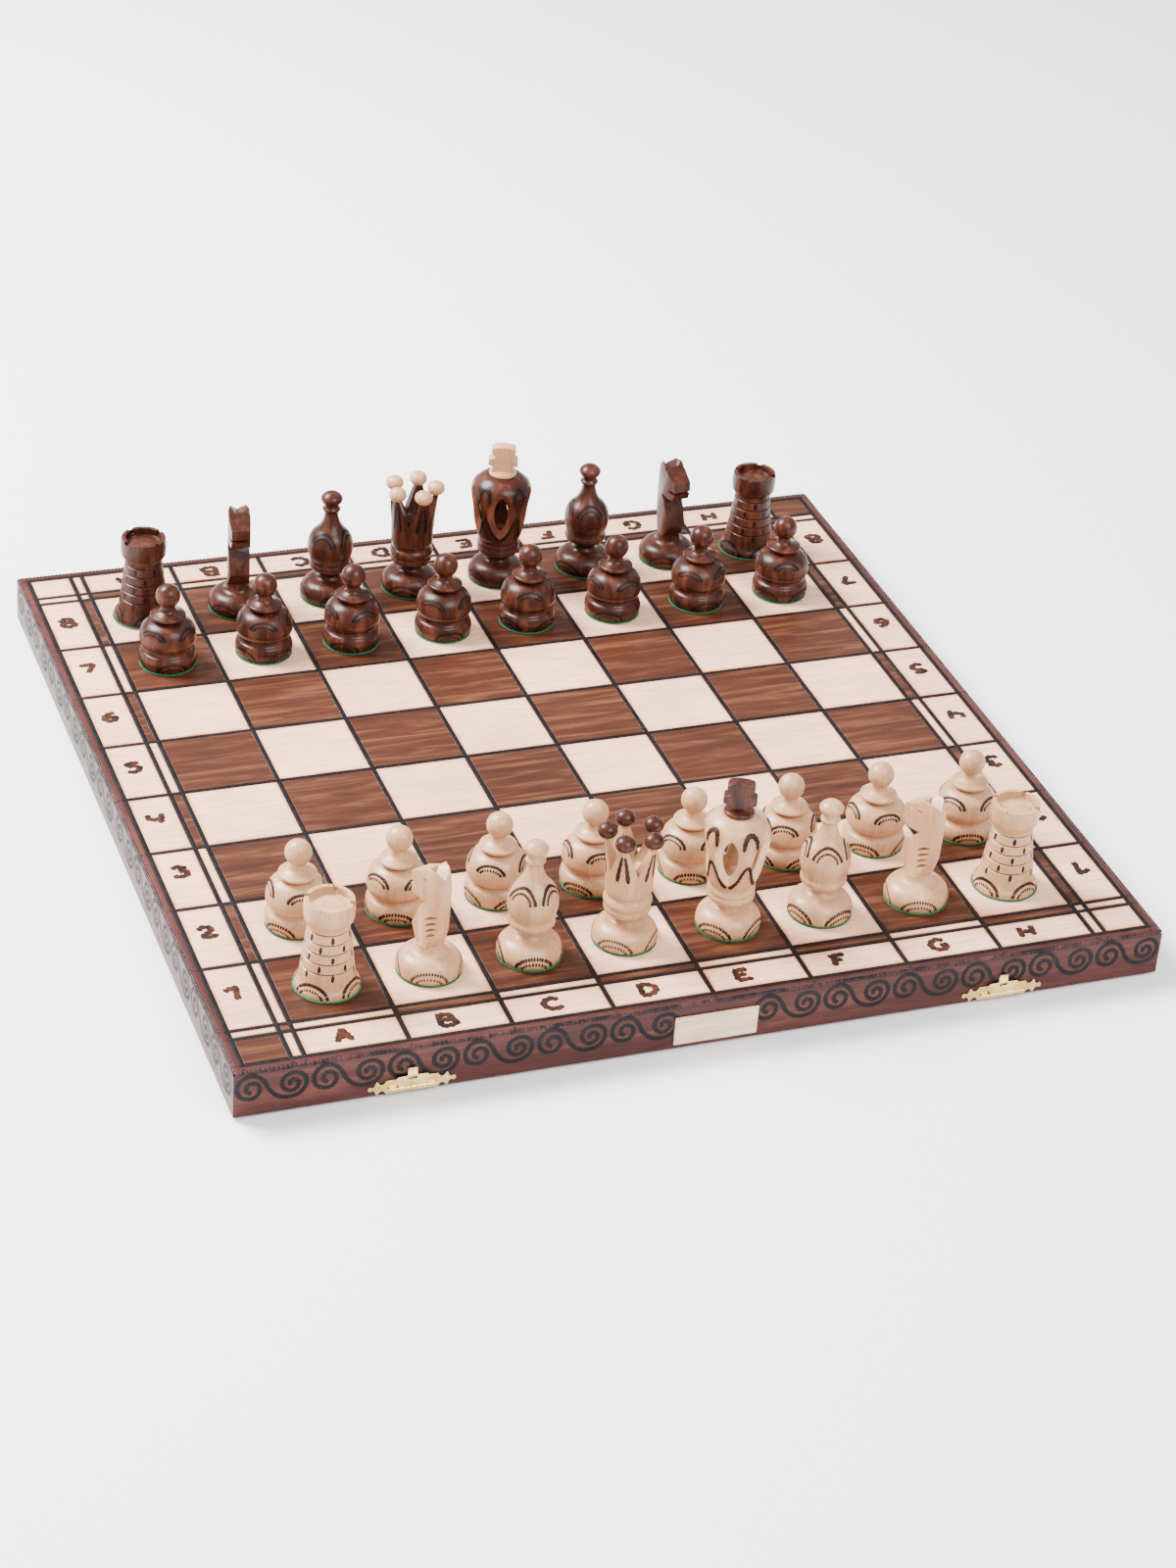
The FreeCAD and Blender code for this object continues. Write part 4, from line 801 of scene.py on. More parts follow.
# ---------------------------------------------------------------- name plate, lining
# A blank cream card plate is glued to the front rail between the scrolls. Dark green felt
# lines the tray in each half, under the panel.
cream = wood("cream_plate", (0.60, 0.41, 0.26), (0.72, 0.53, 0.36), (0.78, 0.60, 0.43),
             (14, 60, 160), 0.4, 0.5, 0.05, 0.0, 0.5)
plate_low, plate_high = (np.array(corner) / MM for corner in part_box("name_plate"))
made = piece("blank_plate", slab(plate_low + (0.1, 0.02, 0.1), plate_high - (0.1, 0, 0.1)),
             [cream], "white_half", ["name_plate"])
softened(made, 0.22, 35, 3)


def felt_finish(name, dark, light, sheen=0.3):
    """Felt: short fibres lying every way, as fine noise over slow tufts, with a soft sheen."""
    made, shader = new_finish(name)
    tree = made.node_tree
    here = node(tree, "TexCoord").outputs["Object"]
    fuzz = node(tree, "TexNoise", {"Vector": here, "Scale": 900.0, "Detail": 3.0}).outputs[0]
    tree.links.new(ramp(tree, fuzz, [(0.35, dark), (0.65, light)]), shader.inputs["Base Color"])
    shader.inputs["Roughness"].default_value = 0.95
    shader.inputs["Sheen Weight"].default_value = sheen
    lift = node(tree, "Bump", {"Strength": 0.6, "Distance": 0.0003, "Height": fuzz})
    tree.links.new(lift.outputs[0], shader.inputs["Normal"])
    return made


tray_felt = felt_finish("tray_felt", (0.010, 0.040, 0.020), (0.025, 0.09, 0.045))
for name in ("white_lining", "black_lining"):
    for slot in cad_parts[name].material_slots:
        slot.material = tray_felt

# --------------------------------------------------------------------- turned men
# The men are turned from hornbeam, White's left pale and Black's stained, lacquered, and
# decorated with rows of short burned dashes. A green felt disc is glued under each foot.
# The bevels of the kings' windows are given a paler copy of the wood, a painted highlight.
pale_wood = wood("pale_turned_wood", (0.39, 0.190, 0.088), (0.51, 0.275, 0.142),
                 (0.60, 0.360, 0.206), (140, 140, 9), 0.7, 0.4, 0.1, 0.15, 1.1, True,
                 shine=0.4)
# Paler copy of the pale wood for the kings' window bevels: a painted highlight, as if those faces
# caught more light.
pale_bevel_highlight = wood("pale_wood_painted_highlight", (0.55, 0.33, 0.19), (0.68, 0.44, 0.27),
                (0.76, 0.53, 0.36), (140, 140, 9), 0.7, 0.4, 0.1, 0.15, 1.1, True,
                shine=0.4)
dark_wood = wood("dark_turned_wood", (0.015, 0.0032, 0.0017), (0.042, 0.0098, 0.0052),
                 (0.125, 0.036, 0.019), (120, 120, 14), 1.2, 0.34, 0.22, 0.10, 0.9, True,
                 shine=0.18)
# Paler copy of the dark wood for the black king's window bevels: the same painted highlight.
dark_bevel_highlight = wood("dark_wood_painted_highlight", (0.060, 0.017, 0.009), (0.120, 0.035, 0.019),
                (0.200, 0.070, 0.038), (120, 120, 14), 1.2, 0.34, 0.22, 0.10, 0.9, True,
                shine=0.18)
# Dark finishes for the burned dashes. They also colour the dark rings in the rooks' grooves, and
# the darker one the black knights' slits, as painted shade.
burn_and_groove_shade = char("burned_dash_and_groove_shade", (0.007, 0.003, 0.002), (0.055, 0.018, 0.008), 0.5)
dark_burn_and_shade = char("dark_burn_and_painted_shade", (0.003, 0.002, 0.002), (0.012, 0.006, 0.004), 0.4)
foot_felt = felt_finish("foot_felt", (0.0, 0.055, 0.02), (0.0, 0.145, 0.055), 0.0)
ROUND = "round"
ARC_STEPS = 9
FELT_THICK = 1.0
FELT_OUT = 0.7
# Rings of each outline, foot first: radius, height, and the degrees of arc to the next ring,
# bulging out if above nought. ROUND is an arc about the axis, as on a ball or in a bowl.
DOME_FOOT = [(17.4, 1.0, 40), (18.4, 4.5, 82), (10.2, 13.1, -62)]
RINGS = {
    "pawn": [(16.6, 1.0, 60), (16.4, 10.2, -60), (14.6, 13.2, 70), (17.2, 20.4, 84),
             (7.8, 30.8, -40), (10.6, 32.8, 120), (9.8, 34.8, 0), (5.6, 36.4, -50),
             (4.2, 40.4, 56), (7.5, 46.7, ROUND), (0, 54.3, 0)],
    "rook": [(18.2, 1.0, 30), (17.6, 4.2, -40), (15.3, 9.2, 0), (11.5, 38.6, -40),
             (13.5, 44.2, 20), (13.5, 55.6, 0), (11.0, 55.6, 0), (10.8, 51.6, 0),
             (8.6, 51.2, 0), (8.4, 51.9, 0), (5.2, 52.3, 0), (0, 52.4, 0)],
    "bishop": DOME_FOOT + [
        (6.5, 16.1, -60), (12.2, 21.3, 80), (12.4, 25.8, -20), (12.8, 28.5, 26),
        (14.2, 37.2, 46), (10.0, 47.0, -44), (4.2, 59.6, 0), (5.4, 61.4, 90), (5.2, 62.9, 0),
        (4.5, 63.9, 0), (4.7, 65.9, 70), (6.8, 69.9, ROUND), (0, 73.9, 0)],
    "queen": DOME_FOOT + [
        (6.7, 15.7, -60), (11.4, 19.4, 90), (12.5, 24.6, 90), (12.6, 29.8, -70),
        (12.0, 32.0, 40), (13.2, 35.6, -8), (15.4, 66.2, 0), (0, 66.2, 0)],
    "king": DOME_FOOT + [
        (7.2, 15.5, -60), (11.9, 19.2, 90), (12.9, 24.2, 60), (12.9, 27.9, -60),
        (13.6, 31.2, 6), (17.8, 50.7, 16), (18.9, 63.6, 50), (15.2, 70.8, 34),
        (9.2, 74.1, 0), (0, 74.1, 0)],
    "knight": DOME_FOOT + [(7.2, 16.9, 0), (0, 16.9, 0)],
}


def bowed(start, end, bow):
    """Points of the arc from start to end, end left out: about a centre that lies to the
    left of the way it runs, by the chord over twice the tangent of half the bow."""
    start, end = np.array(start, float), np.array(end, float)
    if bow == 0:
        return start[None, :]
    chord = end - start
    if bow == ROUND:
        half = math.atan2(chord[1], -chord[0])
    else:
        half = math.radians(bow) / 2
    long = np.linalg.norm(chord)
    ahead = chord / long
    right = np.array([ahead[1], -ahead[0]])
    radius = long / (2 * math.sin(half))
    centre = (start + end) / 2 - right * radius * math.cos(half)
    turn = half * np.linspace(-1, 1, ARC_STEPS, endpoint=False)[:, None]
    return centre + radius * (right * np.cos(turn) + ahead * np.sin(turn))


def outline_of(man):
    """The man's outline as rows of (radius, height), from the edge of the foot to the top."""
    rings = RINGS[man]
    rows = [bowed(a[:2], b[:2], a[2]) for a, b in zip(rings, rings[1:])]
    return np.concatenate(rows + [np.array([rings[-1][:2]], float)])


def with_grooves(outline, heights, deep, half_wide):
    """Fine V grooves let in where the outline passes the heights on its way up."""
    for height in heights:
        radius, up = outline.T
        step = np.nonzero((up[:-1] <= height) & (up[1:] > height))[0][0]
        levels = height + np.array([-half_wide, 0, half_wide])
        cut = np.interp(levels, up[step:step + 2], radius[step:step + 2]) - (0, deep, 0)
        keep = (np.abs(up - height) > half_wide) | (np.arange(len(up)) > step + 4)
        before = (np.arange(len(up)) <= step) & keep
        behind = (np.arange(len(up)) > step) & keep
        outline = np.concatenate([outline[before], np.column_stack([cut, levels]),
                                  outline[behind]])
    return outline


def lathe(outline, angles):
    """A closed turning: point (i, j) is outline point i at angle j, with one point on the
    axis at the foot, and one at the top."""
    radius, up = outline[:-1].T
    points = np.stack([radius[:, None] * np.cos(angles), radius[:, None] * np.sin(angles),
                       np.repeat(up[:, None], len(angles), 1)], -1).reshape(-1, 3)
    poles = np.array([[0, 0, up[0]], [0, 0, outline[-1, 1]]])
    rows, cols = np.arange(len(radius) - 1)[:, None], np.arange(len(angles))[None, :]
    count = len(angles)
    after = (cols + 1) % count
    skin = np.stack([rows * count + cols, rows * count + after, (rows + 1) * count + after,
                     (rows + 1) * count + cols], -1).reshape(-1, 4)
    edge = np.arange(count)
    foot = np.full(count, len(points))
    last = (len(radius) - 1) * count
    fans = [np.stack([(edge + 1) % count, edge, foot], -1),
            np.stack([last + edge, last + (edge + 1) % count, foot + 1], -1)]
    points = np.concatenate([points, poles])
    return points, faces_out(points, [skin] + fans)


def circle(count, first=0.0):
    """Evenly spaced angles once round, in radians, from a first one given in degrees."""
    return math.radians(first) + np.linspace(0, 2 * np.pi, count, endpoint=False)


def on_turning(outline, along, angle, lift):
    """A point of a turning, from the distance along its outline and the angle round the
    axis, raised along the outline's outward normal."""
    at = length_along(outline)
    radius = np.interp(along, at, outline[:, 0])
    up = np.interp(along, at, outline[:, 1])
    step = 0.3
    d_radius = np.interp(along + step, at, outline[:, 0]) - np.interp(along - step, at,
                                                                      outline[:, 0])
    d_up = np.interp(along + step, at, outline[:, 1]) - np.interp(along - step, at,
                                                                  outline[:, 1])
    size = np.hypot(d_radius, d_up) + 1e-9
    radius = radius + lift * d_up / size
    up = up - lift * d_radius / size
    return np.stack([radius * np.cos(angle), radius * np.sin(angle), up], -1)


def along_at(outline, height, after=0.0):
    """Distance along the outline to a height, passing it on the way up at or past a radius
    row that lies at least after millimetres along."""
    at = length_along(outline)
    up = outline[:, 1]
    rise = np.nonzero((up[:-1] <= height) & (up[1:] >= height) & (at[1:] >= after))[0][0]
    return np.interp(height, up[rise:rise + 2], at[rise:rise + 2])


def burned_marks(outline, along, angle, heading, long, wide, proud=0.17):
    """Short burned dashes: six corners round each and a low middle, laid out on the flat in
    their own heading, then wrapped onto the turning."""
    along, angle, heading, long, wide = np.broadcast_arrays(
        *(np.atleast_1d(np.asarray(given, float)) for given in (along, angle, heading, long,
                                                                wide)))
    u = np.array([1, 0.5, -0.5, -1, -0.5, 0.5, 0, 0])[None, :] * long[:, None]
    v = np.array([0, 1, 1, 0, -1, -1, 0, 0])[None, :] * wide[:, None]
    lift = np.array([-0.03] * 6 + [proud, -0.15])[None, :]
    ahead, aside = np.cos(heading)[:, None], np.sin(heading)[:, None]
    up_along = along[:, None] + u * ahead - v * aside
    radius = np.interp(along, length_along(outline), outline[:, 0])[:, None]
    turn = angle[:, None] + (u * aside + v * ahead) / radius
    points = on_turning(outline, up_along, turn, lift).reshape(-1, 3)
    ring = np.arange(6)
    after = (ring + 1) % 6
    fan = np.concatenate([np.stack([ring, after, np.full(6, 6)], -1),
                          np.stack([after, ring, np.full(6, 7)], -1)])
    faces = (fan[None] + 8 * np.arange(len(along))[:, None, None]).reshape(-1, 3)
    return points, faces_out(points, [faces])


def dashed_arches(outline, foot_along, count, first, rows):
    """Arches of dashes set round a turning. Each row is its span and rise in millimetres,
    its number of dashes, and a dash's half length and half width; the dashes of an arch
    point away from the middle of its foot."""
    made = []
    radius = np.interp(foot_along, length_along(outline), outline[:, 0])
    for centre in circle(count, first):
        for span, rise, dashes, long, wide in rows:
            swing = np.linspace(0.04, 0.96, dashes) * np.pi
            across, up = span / 2 * np.cos(swing), rise * np.sin(swing)
            heading = np.arctan2(across / (span / 2), up / rise + 0.35)
            made.append(burned_marks(outline, foot_along + up, centre + across / radius,
                                     heading, long, wide))
    return made


def surface_stroke(outline, angles, heights, half_wide):
    """A burned stroke drawn on a turning through (degrees, height) points, and the path of
    its middle."""
    flat = eased(np.column_stack([angles, heights, np.broadcast_to(half_wide, len(angles))]), 7)
    climbing = length_along(outline)
    along = np.array([along_at(outline, height, 12.0) for height in flat[:, 1]])
    turn = np.radians(flat[:, 0])
    path = on_turning(outline, along, turn, 0.0)
    over = on_turning(outline, along, turn, 1.0) - path
    wide = flat[:, 2:3] * (1 + 0.12 * np.sin(climbing[-1] + 5 * np.arange(len(flat))[:, None]))
    ends = np.minimum(np.arange(len(flat)), len(flat) - 1 - np.arange(len(flat)))
    wide = wide * np.minimum(1, 0.45 + 0.3 * ends)[:, None]
    side = wide * np.array([[-1, -0.55, 0.55, 1, 0]])
    lift = np.repeat([[-0.03, STROKE_PROUD, STROKE_PROUD, -0.03, -0.25]], len(path), 0)
    return swept(path, beside(path, over), over, side, lift), path


def stood(shape, x, y, turn):
    """A man's shape turned and stood on the middle of its square."""
    points, faces = turned_round(shape, turn)
    return points + (x, y, BOARD_TOP), faces


# The rows of an arch: span, rise, number of dashes, and a dash's half length and half width.
BASE_ROWS = ((20.0, 7.2, 19, 1.4, 0.75), (13.6, 4.0, 12, 1.1, 0.62))
PAWN_BELLY_ROWS = ((16.5, 5.6, 18, 1.3, 0.72), (12.0, 3.0, 11, 1.0, 0.58))
PAWN_FOOT_ROWS = ((18.0, 6.2, 17, 1.3, 0.72), (12.0, 3.2, 11, 1.05, 0.58))
BISHOP_ROWS = ((17.5, 9.6, 22, 1.4, 0.76), (12.0, 6.2, 14, 1.1, 0.62))
FOOT_ARCH_UP, PAWN_ARCH_UP, BISHOP_ARCH_UP = 1.5, 23.0, 40.0
STROKE_PROUD = 0.14


def base_arches(outline, first):
    """Four double arches round the foot of a man."""
    return dashed_arches(outline, along_at(outline, FOOT_ARCH_UP), 4, first, BASE_ROWS)


def pawn_shapes(number):
    """Outline of a pawn turned as it is, with its burns: four arches on the belly above
    four on the foot, set between them."""
    outline = outline_of("pawn")
    first = 17.0 + 31.0 * number
    burns = dashed_arches(outline, along_at(outline, PAWN_ARCH_UP), 4, first, PAWN_BELLY_ROWS)
    burns += dashed_arches(outline, along_at(outline, FOOT_ARCH_UP), 4, first + 45,
                           PAWN_FOOT_ROWS)
    return lathe(outline, circle(48)), joined(burns)


def bishop_shapes(number):
    """Outline of a bishop turned as it is, with four double arches on its body and four on
    its foot."""
    outline = outline_of("bishop")
    first = 50.0 + 40.0 * number
    burns = dashed_arches(outline, along_at(outline, BISHOP_ARCH_UP), 4, first, BISHOP_ROWS)
    return lathe(outline, circle(48)), joined(burns + base_arches(outline, first + 40))


GROOVES = (15.4, 21.2, 27.0, 32.8, 38.6)
GROOVE_HALF = 0.45
NOTCH_HALF, NOTCH_LOW = 1.7, 52.4
RIM_BAND = 0.6
TOWER_LOW, TOWER_HIGH, CROWN_LOW, CROWN_HIGH = (ring[:2] for ring in RINGS["rook"][2:6])


def rook_shapes(number):
    """A turning with fine grooves. The crown's rim dips to the foot of a notch at four
    places, with a doubled angle at each side of a notch so that its cheeks are upright.
    With it come its burned dashes and a dark ring in each groove, which is painted shade."""
    plain = outline_of("rook")
    outline = with_grooves(plain, GROOVES, 0.8, 0.6)
    half = math.asin(NOTCH_HALF / CROWN_LOW[0])
    angles, low = [], []
    for quarter in range(4):
        middle = math.radians(45 + 90 * quarter)
        angles += [middle - half, middle - half, middle, middle + half, middle + half]
        low += [False, True, True, True, False]
        between = np.linspace(middle + half, middle + math.pi / 2 - half, 12)[1:-1]
        angles += between.tolist()
        low += [False] * len(between)
    points, faces = lathe(outline, np.array(angles))
    rim = points[:, 2] > CROWN_HIGH[1] - RIM_BAND
    dips = np.tile(low, len(outline) - 1)
    dips = np.concatenate([dips, [False, False]])
    points[rim & dips, 2] = NOTCH_LOW
    burns = base_arches(outline, 30.0 + 50 * number)
    # A dark ring in the bottom of each groove, in the burn finish: painted shade where the groove
    # lies in shadow.
    round_once = circle(40)
    for height in GROOVES:
        radius = np.interp(height, (TOWER_LOW[1], TOWER_HIGH[1]),
                           (TOWER_LOW[0], TOWER_HIGH[0])) - GROOVE_HALF
        path = np.column_stack([radius * np.cos(round_once), radius * np.sin(round_once),
                                np.full(40, height)])
        out = np.column_stack([np.cos(round_once), np.sin(round_once), np.zeros(40)])
        burns.append(swept(path, everywhere((0, 0, 1), path), out,
                           np.array([[-GROOVE_HALF, GROOVE_HALF, 0.3, -0.3]]),
                           np.array([[0.0, 0.0, -0.5, -0.5]]), True))
    for band, foot in enumerate((10.4,) + GROOVES[:4]):
        at = along_at(plain, foot + 2.9)
        burns.append(burned_marks(plain, at, circle(6, 30 * (band % 2) + 11), 0.06, 2.5, 0.95,
                                  0.2))
    return (points, faces), joined(burns)


def queen_burns():
    """Two tapered strokes spread down from each ball of the crown."""
    outline = outline_of("queen")
    burns = base_arches(outline, 35.0)
    for ball in range(5):
        for hand in (-1, 1):
            turn = 72 * ball + hand * np.array([2.8, 6.5, 10.5, 14.0])
            burns.append(surface_stroke(outline, turn, (62.5, 57.0, 51.0, 45.0),
                                        (0.75, 0.95, 1.15, 1.35))[0])
    return joined(burns)


WINDOW_MID, WINDOW_RISE, WINDOW_SPAN = 51.6, 17.0, 29.0
HOLE_MID, HOLE_RISE, HOLE_SPAN = 51.6, 12.2, 18.5
LANTERN_LOW, LANTERN_HIGH = 31.2, 70.8
HOLLOW_LOW, HOLLOW_HIGH = (9.6, 33.0), (9.0, 68.0)
COLUMNS, RISES = 12, 16
WALL_RINGS = 7
BEVEL_SHARES, BEVEL_DROP = (0.35, 0.7, 1.0), 3.8
# Burned strokes over each rib: degrees from its middle, heights, and half widths.
RIB_STROKES = (
    ((-33, -27, -21, -15.5, -10.5, -5.5, 0, 5.5, 10.5, 15.5, 21, 27, 33),
     (33.0, 34.2, 36.2, 38.8, 42.8, 46.6, 48.4, 46.6, 42.8, 38.8, 36.2, 34.2, 33.0),
     (1.35, 1.25, 1.1, 1.0, 1.0, 1.05, 1.15, 1.05, 1.0, 1.0, 1.1, 1.25, 1.35)),
    ((-12, -11, -6.5, 0, 6.5, 11, 12), (60.5, 65.4, 68.4, 69.2, 68.4, 65.4, 60.5),
     (1.0, 1.35, 1.5, 1.55, 1.5, 1.35, 1.0)))


def almond(aim, middle, rise, span, point):
    """Angle and height of an almond's edge in a direction: the cosine, sharpened by a
    power towards the tips, times its half span, and the sine times its half height."""
    side = np.cos(aim) * np.abs(np.cos(aim)) ** point
    return span * side, middle + rise * np.sin(aim)


def king_lantern(outline):
    """One fifth of the lantern, as rings of points round a window: from the edges of the
    fifth to the almond's edge on the outer wall, down the carved bevel to the hole, through
    the wall, and back out to the edges of the fifth on the inner wall."""
    along = np.linspace(-1, 1, COLUMNS + 1)
    climb = np.linspace(-1, 1, RISES + 1)
    edge = np.concatenate([np.column_stack([along[:-1], -np.ones(COLUMNS)]),
                           np.column_stack([np.ones(RISES), climb[:-1]]),
                           np.column_stack([along[::-1][:-1], np.ones(COLUMNS)]),
                           np.column_stack([-np.ones(RISES), climb[::-1][:-1]])])
    aim = np.arctan2(edge[:, 1], edge[:, 0])
    rim = 36 * edge[:, 0], (LANTERN_LOW + LANTERN_HIGH) / 2 \
        + (LANTERN_HIGH - LANTERN_LOW) / 2 * edge[:, 1]
    outer = almond(aim, WINDOW_MID, WINDOW_RISE, WINDOW_SPAN, 0.55)
    hole = almond(aim, HOLE_MID, HOLE_RISE, HOLE_SPAN, 0.3)
    up, radius = outline[:, 1], outline[:, 0]
    wall = (up >= LANTERN_LOW - 0.01) & (up <= LANTERN_HIGH + 0.01)
    order = np.argsort(up[wall])

    def outside(height):
        """Radius of the wall's outer face."""
        return np.interp(height, up[wall][order], radius[wall][order])

    def inside(height):
        """Radius of the hollow."""
        return np.interp(height, (33, 42, 52, 60, 65, 68), (9.6, 12.2, 13.4, 13.6, 12.4, 9.0))
    inner_rim = 36 * edge[:, 0], (HOLLOW_LOW[1] + HOLLOW_HIGH[1]) / 2 \
        + (HOLLOW_HIGH[1] - HOLLOW_LOW[1]) / 2 * edge[:, 1]
    rings = []
    for share in np.linspace(0, 1, WALL_RINGS):
        turn, height = (a * (1 - share) + b * share for a, b in zip(rim, outer))
        rings.append((turn, height, outside(height)))
    for share in BEVEL_SHARES:
        turn, height = (a * (1 - share) + b * share for a, b in zip(outer, hole))
        rings.append((turn, height, outside(height) - BEVEL_DROP * share))
    rings.append((hole[0], hole[1], inside(hole[1])))
    for share in (0.4, 0.75, 1.0):
        turn, height = (a * (1 - share) + b * share for a, b in zip(hole, inner_rim))
        rings.append((turn, height, inside(height)))
    return [np.stack(ring, -1) for ring in rings]


def king_shapes():
    """The king without its finial: a turned foot, five lantern fifths, a turned top, and
    the floor and ceiling of the hollow, to be welded where their edges meet. With it come
    its burns, the paths of their strokes, and 1 for each face of a window bevel, which
    takes the painted highlight, else 0."""
    outline = outline_of("king")
    parts = []
    rings = np.array(king_lantern(outline))
    layers, count = rings.shape[:2]
    rows, cols = np.arange(layers - 1)[:, None], np.arange(count)[None, :]
    skin = np.stack([rows * count + cols, rows * count + (cols + 1) % count,
                     (rows + 1) * count + (cols + 1) % count, (rows + 1) * count + cols],
                    -1).reshape(-1, 4)
    for fifth in range(5):
        turn = np.radians(rings[..., 0] + 72 * fifth)
        points = np.stack([rings[..., 2] * np.cos(turn), rings[..., 2] * np.sin(turn),
                           rings[..., 1]], -1).reshape(-1, 3)
        parts.append((points, [skin]))
    angles = circle(5 * COLUMNS, -36.0)

    def open_turning(rows_of_outline, start_pole, end_pole):
        """A turning open at one end, where a lantern edge is welded on."""
        points, faces = lathe(np.concatenate([rows_of_outline, [[0, rows_of_outline[-1, 1]]]]),
                              angles)
        kept = [faces[0]] + ([faces[1]] if start_pole else []) + ([faces[2]] if end_pole else [])
        return points, kept
    up = outline[:, 1]
    parts.append(open_turning(outline[up <= LANTERN_LOW + 0.01], True, False))
    parts.append(open_turning(outline[:-1][up[:-1] >= LANTERN_HIGH - 0.01], False, True))
    parts.append(open_turning(np.array([HOLLOW_LOW, [5.0, 32.8]]), False, True))
    parts.append(open_turning(np.array([HOLLOW_HIGH, [5.0, 69.2]]), False, True))
    in_row = np.repeat(np.arange(layers - 1), count)
    on_bevel = (in_row >= WALL_RINGS - 1) & (in_row < WALL_RINGS - 1 + len(BEVEL_SHARES))
    plain_faces = sum(len(rows) for part in parts[5:] for rows in part[1])
    # The bevel faces take the paler copy of the wood, a painted highlight.
    bevel_highlight_faces = np.concatenate([np.tile(on_bevel, 5), np.zeros(plain_faces, bool)])
    burns = base_arches(outline, 20.0)
    paths = []
    for rib in range(5):
        middle = 36 + 72 * rib
        for turn, height, wide in RIB_STROKES:
            stroke, path = surface_stroke(outline, middle + np.array(turn), height, wide)
            burns.append(stroke)
            paths.append(path)
    return joined(parts), joined(burns), np.concatenate(paths), bevel_highlight_faces.astype(np.int32)


def welded(made):
    """Doubled points merged, and all faces of the closed mesh turned outward."""
    work = bmesh.new()
    work.from_mesh(made.data)
    bmesh.ops.remove_doubles(work, verts=work.verts, dist=2e-6)
    bmesh.ops.dissolve_degenerate(work, edges=work.edges, dist=1e-7)
    bmesh.ops.recalc_face_normals(work, faces=work.faces)
    work.to_mesh(made.data)
    work.free()
    made.data.set_sharp_from_angle(angle=math.radians(32))
    return made


def glow_near(made, path, reach):
    """The scorch value of each point: it falls off as a bell with distance from a path."""
    mesh = made.data
    spots = np.empty(len(mesh.vertices) * 3)
    mesh.vertices.foreach_get("co", spots)
    spots = spots.reshape(-1, 3)
    near = np.full(len(spots), 1e9)
    for spot in path * MM:
        near = np.minimum(near, ((spots - spot) ** 2).sum(1))
    mesh.attributes.new("scorch", "FLOAT", "POINT").data.foreach_set(
        "value", np.exp(-near / (reach * MM) ** 2).astype("f"))


def sawn_copy(name, finish, edge):
    """A sawn or cut man's wood from its frame solid: doubled points merged, the felt left
    out, and the edges softened. The felt is what is joined to any point below its middle."""
    work = bmesh.new()
    work.from_mesh(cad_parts[name].data)
    bmesh.ops.remove_doubles(work, verts=work.verts, dist=2e-6)
    reached = [v for v in work.verts if v.co.z < (BOARD_TOP + FELT_THICK / 2) * MM]
    felt_points = set(reached)
    while reached:
        point = reached.pop()
        for line in point.link_edges:
            other = line.other_vert(point)
            if other not in felt_points:
                felt_points.add(other)
                reached.append(other)
    bmesh.ops.delete(work, geom=list(felt_points), context="VERTS")
    mesh = bpy.data.meshes.new(name + "_wood")
    work.to_mesh(mesh)
    work.free()
    mesh.materials.clear()
    mesh.materials.append(finish)
    mesh.shade_smooth()
    mesh.set_sharp_from_angle(angle=math.radians(30))
    made = bpy.data.objects.new(name + "_wood", mesh)
    bpy.context.scene.collection.objects.link(made)
    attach(made, name)
    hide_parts(name)
    if edge:
        softened(made, edge, 32)


def felt_disc(radius):
    """Felt under a foot: a disc whose edge swells a little, as pressed felt does."""
    rings = np.array([(radius - 0.25, 0.0), (radius, 0.25), (radius + 0.12, 0.5),
                      (radius + 0.05, 0.85), (radius - 0.3, FELT_THICK), (0, FELT_THICK)])
    return lathe(rings, circle(48))


# The balls stand in a ring on the queen's top, flattened a little, each on a flat foot.
BALL_RAD, BALL_HALF_HIGH, BALL_LIFT = 5.6, 4.7, 4.22
CROWN_RING, CROWN_TOP = 13.9, RINGS["queen"][-1][1]


def crown_ball(turn):
    """One ball of the queen's crown: an ellipse turned, with a dimple at its top."""
    swing = np.linspace(-64, 84, 14)
    rows = np.column_stack([BALL_RAD * np.cos(np.radians(swing)),
                            BALL_HALF_HIGH * np.sin(np.radians(swing))])
    rows = np.concatenate([rows, [[1.1, 4.62], [0.8, 4.4], [0, 4.2]]])
    points, faces = lathe(rows, circle(24))
    aim = math.radians(turn)
    return points + (CROWN_RING * math.cos(aim), CROWN_RING * math.sin(aim),
                     CROWN_TOP + BALL_LIFT), faces


# Half of a finial's cross: out from the middle, and up from the disc's seat.
CROSS_HALF = [(0, 2.4), (6.9, 2.4), (6.8, 4.3), (4.7, 5.9), (8.8, 7.2), (9.3, 7.7), (9.2, 10.8),
              (8.3, 11.3), (5.0, 12.9), (7.3, 15.7), (7.7, 17.2), (7.1, 18.6), (5.4, 19.5),
              (3.0, 19.9), (0, 20.0)]
FINIAL_SEAT = RINGS["king"][-1][1]
FINIAL_TURN = {"white": -25, "black": -20}


def finial_shape():
    """A king's finial: a turned disc with a domed top, and a cross sawn from a plank."""
    disc = lathe(np.array([(8.1, 0.0), (8.55, 0.4), (8.6, 1.3), (8.1, 2.3), (6.0, 3.1),
                           (0, 3.3)]) + (0, FINIAL_SEAT), circle(40))
    cross = sheet_metal(mirrored(CROSS_HALF), 0, FINIAL_SEAT, 3.9, -3.9)
    return joined([disc, cross])


# Turn of each man from squarely facing the other side, in degrees.
TURNS = {"white_rook_a1": 14, "white_knight_b1": 18, "white_queen": 16, "white_king": 21,
         "white_knight_g1": 18, "white_rook_h1": 1, "black_rook_a8": -20,
         "black_knight_b8": -8, "black_queen": 26, "black_king": 1, "black_knight_g8": 9,
         "black_rook_h8": 8}
